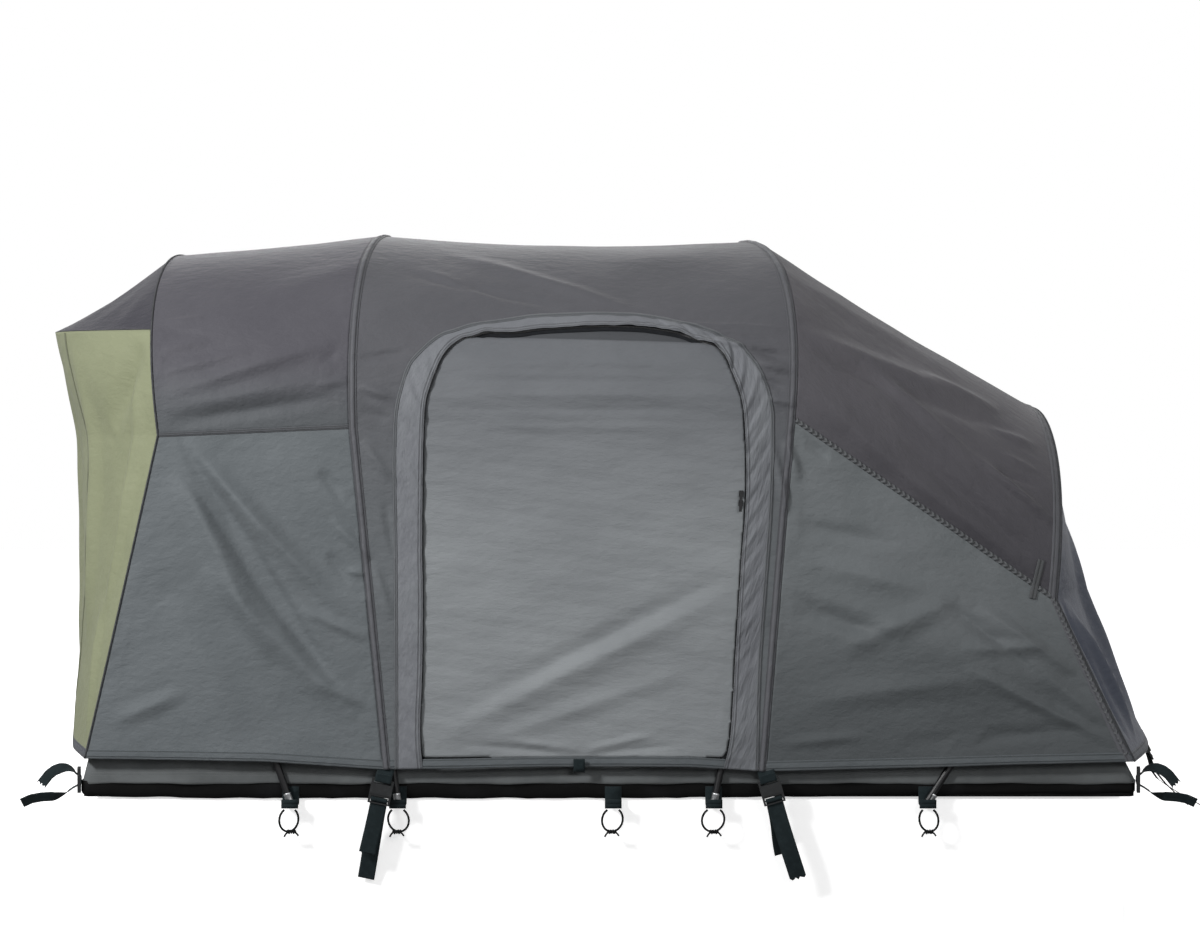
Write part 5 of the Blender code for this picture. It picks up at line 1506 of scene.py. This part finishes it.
# Below the door the wall goes on as a low sill behind the hem
sill_x = between(ARCH_INNER[0][0] - 0.012, ARCH_INNER[-1][0] + 0.012, 110)
line = np.stack(np.broadcast_arrays(sill_x[None, :], between(FLY[1], 0.099, 5)[:, None]), axis=-1)
points, cut = wall_points(line, 0.0)
add_strip("door_sill", points, cut, WALL_CLOTH)


# Door zip: a dark tape sewn behind the opening's edge, with a moulded coil along its middle. The
# coil's teeth slant to alternate sides.
ZIP_TAPE = 0.020
ZIP_SINK = -0.0042
COIL_PITCH = 0.0030
COIL_SIZE = (0.0018, 0.0042, 0.0024)
COIL_SLANT = 14
TAPE_THICKNESS = 0.0008

zip_line = line_of(rounded(grown(ARCH_INNER, 0.0015), 2), 560)
breadth = (between(-1, 1, 4)[:, None] * ZIP_TAPE / 2)[..., None]
points, cut = wall_points(zip_line[None] + square_to(zip_line)[None] * breadth, ZIP_SINK)
tape_cloth = webbing("zip tape", (0.016, 0.018, 0.021), (0.008, 0.009, 0.011))
add_sheet(
    "zip_tape", cloth_shape(points, cut), tape_cloth, TAPE_THICKNESS, "zip_track",
    cut,
)

coil_finish = Finish("black zip coil")
wear = coil_finish.noise(coil_finish.places(), 120.0, 4.0, 0.6)
coil_finish.set(
    base_color=coil_finish.mix(wear.ramp(0.35, 0.8), (0.006, 0.006, 0.007), (0.020, 0.021, 0.023)),
    roughness=0.28 + 0.25 * wear,
    normal=coil_finish.bump(wear, 0.00008),
)
teeth = int(length_of(zip_line)[-1] / COIL_PITCH)
line = line_of(zip_line, teeth)
spots, _ = wall_points(line, ZIP_SINK + 0.0016)
way = np.gradient(spots, axis=0)
shape = bmesh.new()
for number, (spot, onward) in enumerate(zip(spots, way)):
    turn = Vector(onward).to_track_quat("X", "Y").to_matrix().to_4x4()
    slant = Matrix.Rotation(math.radians(COIL_SLANT if number % 2 else -COIL_SLANT), 4, "Z")
    place = Matrix.Translation(spot) @ turn @ slant @ Matrix.Diagonal((*COIL_SIZE, 1))
    bmesh.ops.create_cube(shape, size=1.0, matrix=place)
coil = add_mesh("zip_coil", shape, coil_finish.material, smooth=False)
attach(coil, "tent")


# Door: one panel of lighter cloth on the zip, a little slack, with long ripples under its top and
# a broad fold running up from the lower left. A webbing tab holds its lower edge.
DOOR_MARGIN = -0.0012
DOOR_LIFT = -0.0026
DOOR_SILL = 0.0995
DOOR_TOP_LINE = ((-0.341, 1.049), (0.251, 1.033))
TAB_X = -0.067
TAB_HALF_WIDTH = 0.013
DOOR_FOLD_SHARE = 0.55
DOOR_FOLDS = (
    ((-0.413, 0.996), (0.289, 0.989), 0.020, 0.0026),
    ((-0.412, 0.955), (0.299, 0.948), 0.018, -0.0024),
    ((-0.412, 0.921), (0.308, 0.916), 0.020, 0.0026),
    ((-0.412, 0.889), (0.308, 0.884), 0.018, -0.0020),
    ((-0.412, 0.848), (0.308, 0.843), 0.018, 0.0018),
    ((-0.381, 0.152), (0.286, 0.473), 0.059, 0.0090),
    ((-0.347, 0.197), (0.297, 0.522), 0.041, -0.0060),
    ((-0.313, 0.123), (0.206, 0.302), 0.036, 0.0045),
    ((-0.381, 0.137), (-0.058, 0.103), 0.014, -0.0030),
    ((-0.058, 0.103), (0.183, 0.130), 0.014, -0.0030),
    ((-0.245, 0.141), (-0.058, 0.114), 0.016, 0.0040),
    ((-0.058, 0.114), (0.115, 0.152), 0.016, 0.0040),
)

outline = rounded(grown(ARCH_INNER, DOOR_MARGIN), 2)
outline[0, 1] = outline[-1, 1] = DOOR_SILL
outline = outline[outline[:, 1] >= DOOR_SILL]
xs, zs = between(-0.436, 0.322, 158), between(DOOR_SILL, 1.082, 196)
line = np.stack(np.broadcast_arrays(xs[None, :], zs[:, None]), axis=-1)
(x0, z0), (x1, z1) = DOOR_TOP_LINE
over = line[..., 1] - (z0 + (z1 - z0) * (line[..., 0] - x0) / (x1 - x0))
lift = DOOR_LIFT + DOOR_FOLD_SHARE * fold_height(line[..., 0], line[..., 1], DOOR_FOLDS)
lift += 0.0026 * np.exp(-((over / 0.0045) ** 2)) - 0.0036 * np.clip(over / 0.006, 0, 1)
lift += wave(line[..., 1] + 0.16 * line[..., 0], (0.0006, 0.093, 0.4), (0.0003, 0.037, 1.0))
lift = np.clip(lift, -0.008, 0.0085)
lift = np.minimum(lift, -0.0012 + 0.25 * np.clip(line[..., 1] - 0.112, 0, 1))
points, cut = wall_points(line, lift)
shape = cloth_shape(points, cut)
trim(shape, outline, inside=True)

door_cloth = Finish("light door cloth")
across, along, sheet = door_cloth.cloth_map()
broad = door_cloth.noise(sheet, 3.2, 5.0, 0.6)
crease = door_cloth.noise(door_cloth.stretch(sheet, (0.7, 2.0, 1.0), 24.0), 24.0, 5.0, 0.62)
thread, square = weave(across, along, 0.0012)
side, high = door_cloth.place_on("X"), door_cloth.place_on("Z")
shade = door_cloth.mix(broad.ramp(0.3, 0.75), (0.202, 0.216, 0.226), (0.236, 0.252, 0.262))
shade = door_cloth.mix(square * 0.10, shade, (0.150, 0.160, 0.166))
# Painted shade: the door darkens towards its top, under the arch.
shade = door_cloth.mix(high.ramp(0.50, 1.08) * 0.72, shade, (0.082, 0.086, 0.098))
# Painted shadow: above its top line the door is painted nearly black, the shade in the gap under the storm
# flap.
slope = (z1 - z0) / (x1 - x0)
painted_gap_shadow = (high - (z0 - x0 * (z1 - z0) / (x1 - x0)) - side * slope).ramp(0.002, 0.006)
shade = door_cloth.mix(painted_gap_shadow * 0.75, shade, (0.030, 0.032, 0.036))
door_cloth.set(
    base_color=shade,
    roughness=0.58 + 0.14 * crease,
    sheen_weight=0.12,
    sheen_roughness=0.45,
    specular_ior_level=0.38,
    normal=door_cloth.bump(crease * 0.0030 + broad * 0.006 + thread * 0.00002, 1.0),
)
door = add_mesh("door_cloth_panel", shape, door_cloth.material)
thicken(door, FLY_THICKNESS)
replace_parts(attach(door, "door"), "door_panel")
width, length = map(float, np.ptp(outline, axis=0))

# The tab that holds the door's lower edge down: webbing folded over the hem
WEB_THICKNESS = 0.0016
rows = np.array([
    [(TAB_X + s * TAB_HALF_WIDTH, y, z) for s in (-1, -0.5, 0, 0.5, 1)]
    for y, z in (
        (-0.6838, 0.0970), (-0.6846, 0.0930), (-0.6852, 0.0850), (-0.6852, 0.0760),
        (-0.6842, 0.0715), (-0.6810, 0.0690), (-0.6780, 0.0660),
    )
])
tab = add_mesh("hem_tab_webbing", cloth_shape(rows), WEBBING)
thicken(tab, WEB_THICKNESS, 0.0)
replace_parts(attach(tab, "tent"), "hem_tab")

# Below the door, a paler strip closes the foot of the inner door
x, z = np.meshgrid(between(-0.381, 0.314, 100), between(0.047, 0.0725, 4))
u, t = bay_place(INNER_HOOPS, 1, INNER, x, z)
cut = bay_sheet(INNER_HOOPS, 1, INNER, u, t)
points = cut.copy()
points[..., 1] -= 0.0022 + 0.0006 * np.sin(x * 55)
pale_cloth = woven("pale inner strip", (0.118, 0.126, 0.130), (0.092, 0.100, 0.104), 0.7, (0.0035,))
add_sheet(
    "inner_door_foot", cloth_shape(points, cut), pale_cloth, INNER_THICKNESS, None,
    cut,
)


# Zip sliders and their pulls: die-cast metal, painted black and rubbed bright at the edges. The CAD
# ones have the right shape, and only get their finish.
slider_finish = Finish("black zip metal")
rub = slider_finish.noise(slider_finish.places(), 260.0, 4.0, 0.6)
slider_finish.set(
    base_color=slider_finish.mix(rub.ramp(0.62, 0.8), (0.010, 0.010, 0.011), (0.10, 0.10, 0.10)),
    metallic=0.6,
    roughness=0.25 + 0.25 * rub,
    normal=slider_finish.bump(rub, 0.00006),
)
refinish(slider_finish.material, "zip_slider_upper", "zip_slider_lower", "zip_pull_upper", "zip_pull_lower")


# Pole tips: a turned aluminium ferrule pressed over the foot of every hoop, with a bead at its
# upper rim. It stands on its tab.
ferrule_finish = Finish("turned aluminium")
where = ferrule_finish.places()
turned = ferrule_finish.noise(ferrule_finish.stretch(where, (1, 1, 14)), 160.0, 3.0, 0.6)
ferrule_finish.set(
    base_color=ferrule_finish.mix(turned.ramp(0.3, 0.8), (0.42, 0.43, 0.44), (0.68, 0.69, 0.70)),
    metallic=1.0,
    roughness=0.26 + 0.2 * turned,
    normal=ferrule_finish.bump(turned, 0.00005),
)
# Its profile from the tip up: radius and height
FERRULE = (
    (0.0, -0.0010), (0.0038, -0.0008), (0.0056, 0.0006), (0.0066, 0.0030), (0.0084, 0.0034),
    (0.0086, 0.0042), (0.0086, 0.0180), (0.0090, 0.0186), (0.0090, 0.0212), (0.0086, 0.0218),
    (0.0080, 0.0220),
)
shape = bmesh.new()
for name in ("pole_head", "pole_door_left", "pole_door_right", "pole_foot"):
    spots = np.array([vert.co for vert in frame["nodes"][name].data.vertices])
    for _, side in SIDES:
        near = spots[spots[:, 1] * side > 0]
        foot = near[near[:, 2] < near[:, 2].min() + 0.006].mean(axis=0)
        above = near[near[:, 2] > foot[2] + 0.02]
        above = above[above[:, 2] < above[:, 2].min() + 0.012]
        axis = Vector(above.mean(axis=0) - foot).normalized()
        turned_from = bmesh.new()
        line = [turned_from.verts.new((radius, 0, height)) for radius, height in FERRULE]
        edges = [turned_from.edges.new(pair) for pair in zip(line, line[1:])]
        bmesh.ops.spin(
            turned_from, geom=line + edges, cent=(0, 0, 0), axis=(0, 0, 1), dvec=(0, 0, 0),
            angle=2 * math.pi, steps=24, use_merge=True, use_duplicate=False,
        )
        bmesh.ops.remove_doubles(turned_from, verts=turned_from.verts, dist=0.00001)
        bmesh.ops.recalc_face_normals(turned_from, faces=turned_from.faces)
        turn = Matrix.Translation(foot) @ axis.to_track_quat("Z", "X").to_matrix().to_4x4()
        bmesh.ops.transform(turned_from, matrix=turn, verts=turned_from.verts)
        copy = bpy.data.meshes.new("ferrule")
        turned_from.to_mesh(copy)
        shape.from_mesh(copy)
        bpy.data.meshes.remove(copy)
        turned_from.free()
ferrules = add_mesh("pole_ferrules", shape, ferrule_finish.material)
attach(ferrules, "tent")


# Straps: webbing sewn behind the hem and doubled round a buckle's socket; below the plug a second
# length runs through the ladder bars and hangs in two loose ends.
HEM_HEIGHT = FLY[1]
WALL_SLOPE = WALL_LEAN / (LEFT_HOOP["low"] - HEM_HEIGHT)
STRAP_XS = dict(left=-0.503, right=0.352)
STRAP_STANDOFF = 0.0135
WEB_WIDTH = 0.038
HALF_WEB = WEB_THICKNESS / 2
WEB_GAP = 0.0006
HEM_CLOTH = 0.002
SOCKET_BAR_DEPTH = 0.028
SOCKET_BAR_HEIGHT = 0.004
SOCKET_BAR_HALF = 0.0022
PLUG_TOP = -0.0623
PLUG_FACE = 0.0031
LADDER_TOP = 0.00775
LADDER_STEP = 0.0085
RIBBON_COLUMNS = 8
RAGGED = 0.0035


def ribbon(name, line, width, place, step=0.004, ragged=False, twist=0.0):
    """A webbing strap along a line of (x, y, z) or (y, z) in its own frame. Towards its two ends it
    can twist, and its last end can be cut ragged."""
    line = np.array([point if len(point) == 3 else (0, *point) for point in line], float)
    line = rounded(line, 1)
    line = line_of(line, max(int(length_of(line)[-1] / step), 12))
    way = unit(np.gradient(line, axis=0))
    part = np.linspace(0, 1, len(line))
    angle = twist * (np.clip((0.40 - part) / 0.14, 0, 1) + np.clip((part - 0.66) / 0.14, 0, 1))
    square = np.cross(way, (1.0, 0.0, 0.0))
    over = np.stack([np.cos(angle), np.zeros(len(part)), np.zeros(len(part))], axis=1)
    over += square * np.sin(angle)[:, None]
    columns = []
    spread = between(-0.5, 0.5, RIBBON_COLUMNS)
    for number, s in enumerate(spread):
        column = line + over * (s * width)
        if ragged:
            column[-1] += way[-1] * RAGGED * math.sin(number * 2.4 + len(name))
        columns.append(column)
    points = np.array(columns).transpose(1, 0, 2)
    wide = np.zeros_like(points)
    wide[..., 0] = spread[None, :] * width
    wide[..., 1] = length_of(line)[:, None]
    flat = np.array(place.to_3x3())
    points = points @ flat.T + np.array(place.translation)
    made = add_mesh(name, cloth_shape(points, wide), WEBBING)
    thicken(made, WEB_THICKNESS * 0.94, 0.0)
    return made, wide


def declare_ribbon(made, wide, node, body):
    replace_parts(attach(made, body), node)
    declare_cloth(wide)


def strap_place(x, y, tilt, turn=0):
    """A strap's frame at the hem: across the webbing, inwards and up, tilted in its own plane."""
    place = Matrix.Translation((x, y, HEM_HEIGHT)) @ Matrix.Rotation(math.radians(turn), 4, "Z")
    return place @ Matrix.Rotation(math.radians(tilt), 4, "Y")


def hanger_line(standoff, lean):
    """The upper webbing: down from behind the hem, round the socket's bar and up in front of it."""
    behind = standoff + HEM_CLOTH + WEB_GAP + HALF_WEB
    back = SOCKET_BAR_HALF + WEB_GAP + HALF_WEB
    under = -SOCKET_BAR_DEPTH - SOCKET_BAR_HEIGHT - WEB_GAP / 2 - 2 * HALF_WEB
    return (
        (behind + lean * HEM_BAND, HEM_BAND),
        (behind - lean * 0.007, -0.007),
        (back + 0.0045, -0.0168),
        (back, -SOCKET_BAR_DEPTH),
        (back, under + HALF_WEB),
        (back - 2 * HALF_WEB, under - HALF_WEB / 2),
        (2 * HALF_WEB - back, under - HALF_WEB / 2),
        (-back, under + HALF_WEB),
        (-back, -0.0154),
    )


def ladder_line(inner_tail, outer_tail):
    """The lower webbing: from one loose end up through the plug's ladder bars and down again."""
    outer = PLUG_FACE + WEB_THICKNESS + 0.0005
    through = PLUG_TOP - LADDER_TOP
    back_through = through - LADDER_STEP
    return (
        *outer_tail,
        (outer, back_through),
        (outer, through),
        (-PLUG_FACE, through),
        (-PLUG_FACE, back_through),
        (PLUG_FACE, back_through),
        (PLUG_FACE, back_through - LADDER_STEP),
        *inner_tail,
    )


outer_y = -FLY[0] - STRAP_STANDOFF
hem_x = FOOT_HOOP["hem"] + FOOT_BULGES[0]
# The strap of the foot end hangs out from the leaning cloth
END_STRAP_TILT = math.radians(27)
slope = math.atan2(hem_x - FOOT_HOOP["shoulder"] - FOOT_BULGES[1], FOOT_HOOP["low"] - HEM_HEIGHT)
end_place = Matrix.Translation((hem_x + STRAP_STANDOFF, 0, HEM_HEIGHT))
end_place = end_place @ Matrix.Rotation(math.pi / 2, 4, "Z") @ Matrix.Rotation(-END_STRAP_TILT, 4, "X")
for name, place, standoff, lean, inner_tail, outer_tail in (
    (
        "left", strap_place(STRAP_XS["left"], outer_y, 12), STRAP_STANDOFF, WALL_SLOPE,
        ((0.000, 0.004, -0.130), (-0.002, 0.006, -0.200)),
        ((0.006, 0.036, -0.262), (0.004, 0.026, -0.200), (0.001, 0.012, -0.120)),
    ),
    (
        "right", strap_place(STRAP_XS["right"], outer_y, -16), STRAP_STANDOFF, WALL_SLOPE,
        ((0.000, 0.000, -0.140), (0.002, -0.004, -0.205), (0.004, 0.004, -0.262)),
        ((-0.014, 0.052, -0.212), (-0.011, 0.036, -0.175), (-0.003, 0.014, -0.125)),
    ),
    (
        "end", end_place, STRAP_STANDOFF * math.cos(END_STRAP_TILT) + 0.0009,
        math.tan(slope - END_STRAP_TILT),
        ((0, 0.006, -0.130), (0, -0.026, -0.225)),
        ((0, -0.060, -0.250), (0, -0.010, -0.175), (0, 0.016, -0.125)),
    ),
):
    made, wide = ribbon(f"strap_{name}_hanger", hanger_line(standoff, lean), WEB_WIDTH, place, step=0.0025)
    declare_ribbon(made, wide, f"strap_{name}_webbing", "tent")
    line = ladder_line(inner_tail, outer_tail)
    made, wide = ribbon(f"strap_{name}_loose", line, WEB_WIDTH, place, step=0.003, ragged=True)
    declare_ribbon(made, wide, f"strap_{name}_tail", f"plug_{name}")
hanger = hanger_line(STRAP_STANDOFF, WALL_SLOPE)[:3]
for name, x in STRAP_XS.items():
    line = (*hanger, (hanger[-1][0], -0.170))
    place = strap_place(x, -outer_y, 0, 180)
    made, wide = ribbon(f"far_strap_{name}", line, WEB_WIDTH, place, ragged=True)
    declare_ribbon(made, wide, f"strap_far_{name}", "tent")

moulded = Finish("black moulded buckle")
where = moulded.places()
mottle = moulded.noise(where, 420.0, 4.0, 0.6)
scuff = moulded.noise(moulded.stretch(where, (1, 5, 1), 30.0), 90.0, 4.0, 0.7)
moulded.set(
    base_color=moulded.mix(scuff.ramp(0.55, 0.8), (0.008, 0.009, 0.010), (0.024, 0.026, 0.028)),
    roughness=0.30 + 0.20 * scuff,
    specular_ior_level=0.5,
    normal=moulded.bump(mottle, 0.00008),
)
buckles = [f"strap_{name}_{half}" for name in ("left", "right", "end") for half in ("socket", "plug")]
locks = [f"corner_lock_{end}_{side}" for end in ("head", "foot") for side in ("near", "far")]
refinish(moulded.material, *buckles, *locks)


# Corner straps: one length of narrower webbing threaded through the lock at each corner of the tub.
# Its two loose ends stick out past the corner and turn on edge.
CORNER_WEB_WIDTH = 0.025
LOCK_FACE = 0.0051
LOCK_UPPER = 0.01175
CORNER_TWIST = 62
LOCK_TURN = 35
for end_name, end in (("head", -1), ("foot", 1)):
    for side_name, side in SIDES:
        turn = math.degrees(math.atan2(side, end)) + 90 - LOCK_TURN * side * end
        out = Vector((math.cos(math.radians(turn - 90)), math.sin(math.radians(turn - 90)), 0))
        corner = Vector((end * TUB_HALF[0], side * TUB_HALF[1], TUB_HEIGHT))
        place = Matrix.Translation(corner + out * (TUB_CORNER + LOCK_FACE + HALF_WEB + 0.0003))
        place = place @ Matrix.Rotation(math.radians(turn), 4, "Z")
        line = (
            (-0.128, -0.050), (-0.100, -0.038), (-0.040, -0.036), (-LOCK_FACE, -LOCK_UPPER),
            (LOCK_FACE, -LOCK_UPPER), (LOCK_FACE, LOCK_UPPER), (-LOCK_FACE, LOCK_UPPER),
            (-0.014, 0.024), (-0.034, 0.030), (-0.062, 0.020), (-0.084, -0.008),
        )
        label = f"{end_name}_{side_name}"
        made, wide = ribbon(
            f"corner_web_{label}", line, CORNER_WEB_WIDTH, place, ragged=True,
            twist=math.radians(-CORNER_TWIST * side * end),
        )
        declare_ribbon(made, wide, f"corner_strap_{label}", "tent")


size = {"cad": [list(map(float, corner)) for corner in cad_box]}
size["scene"] = [list(map(float, corner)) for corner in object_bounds()]
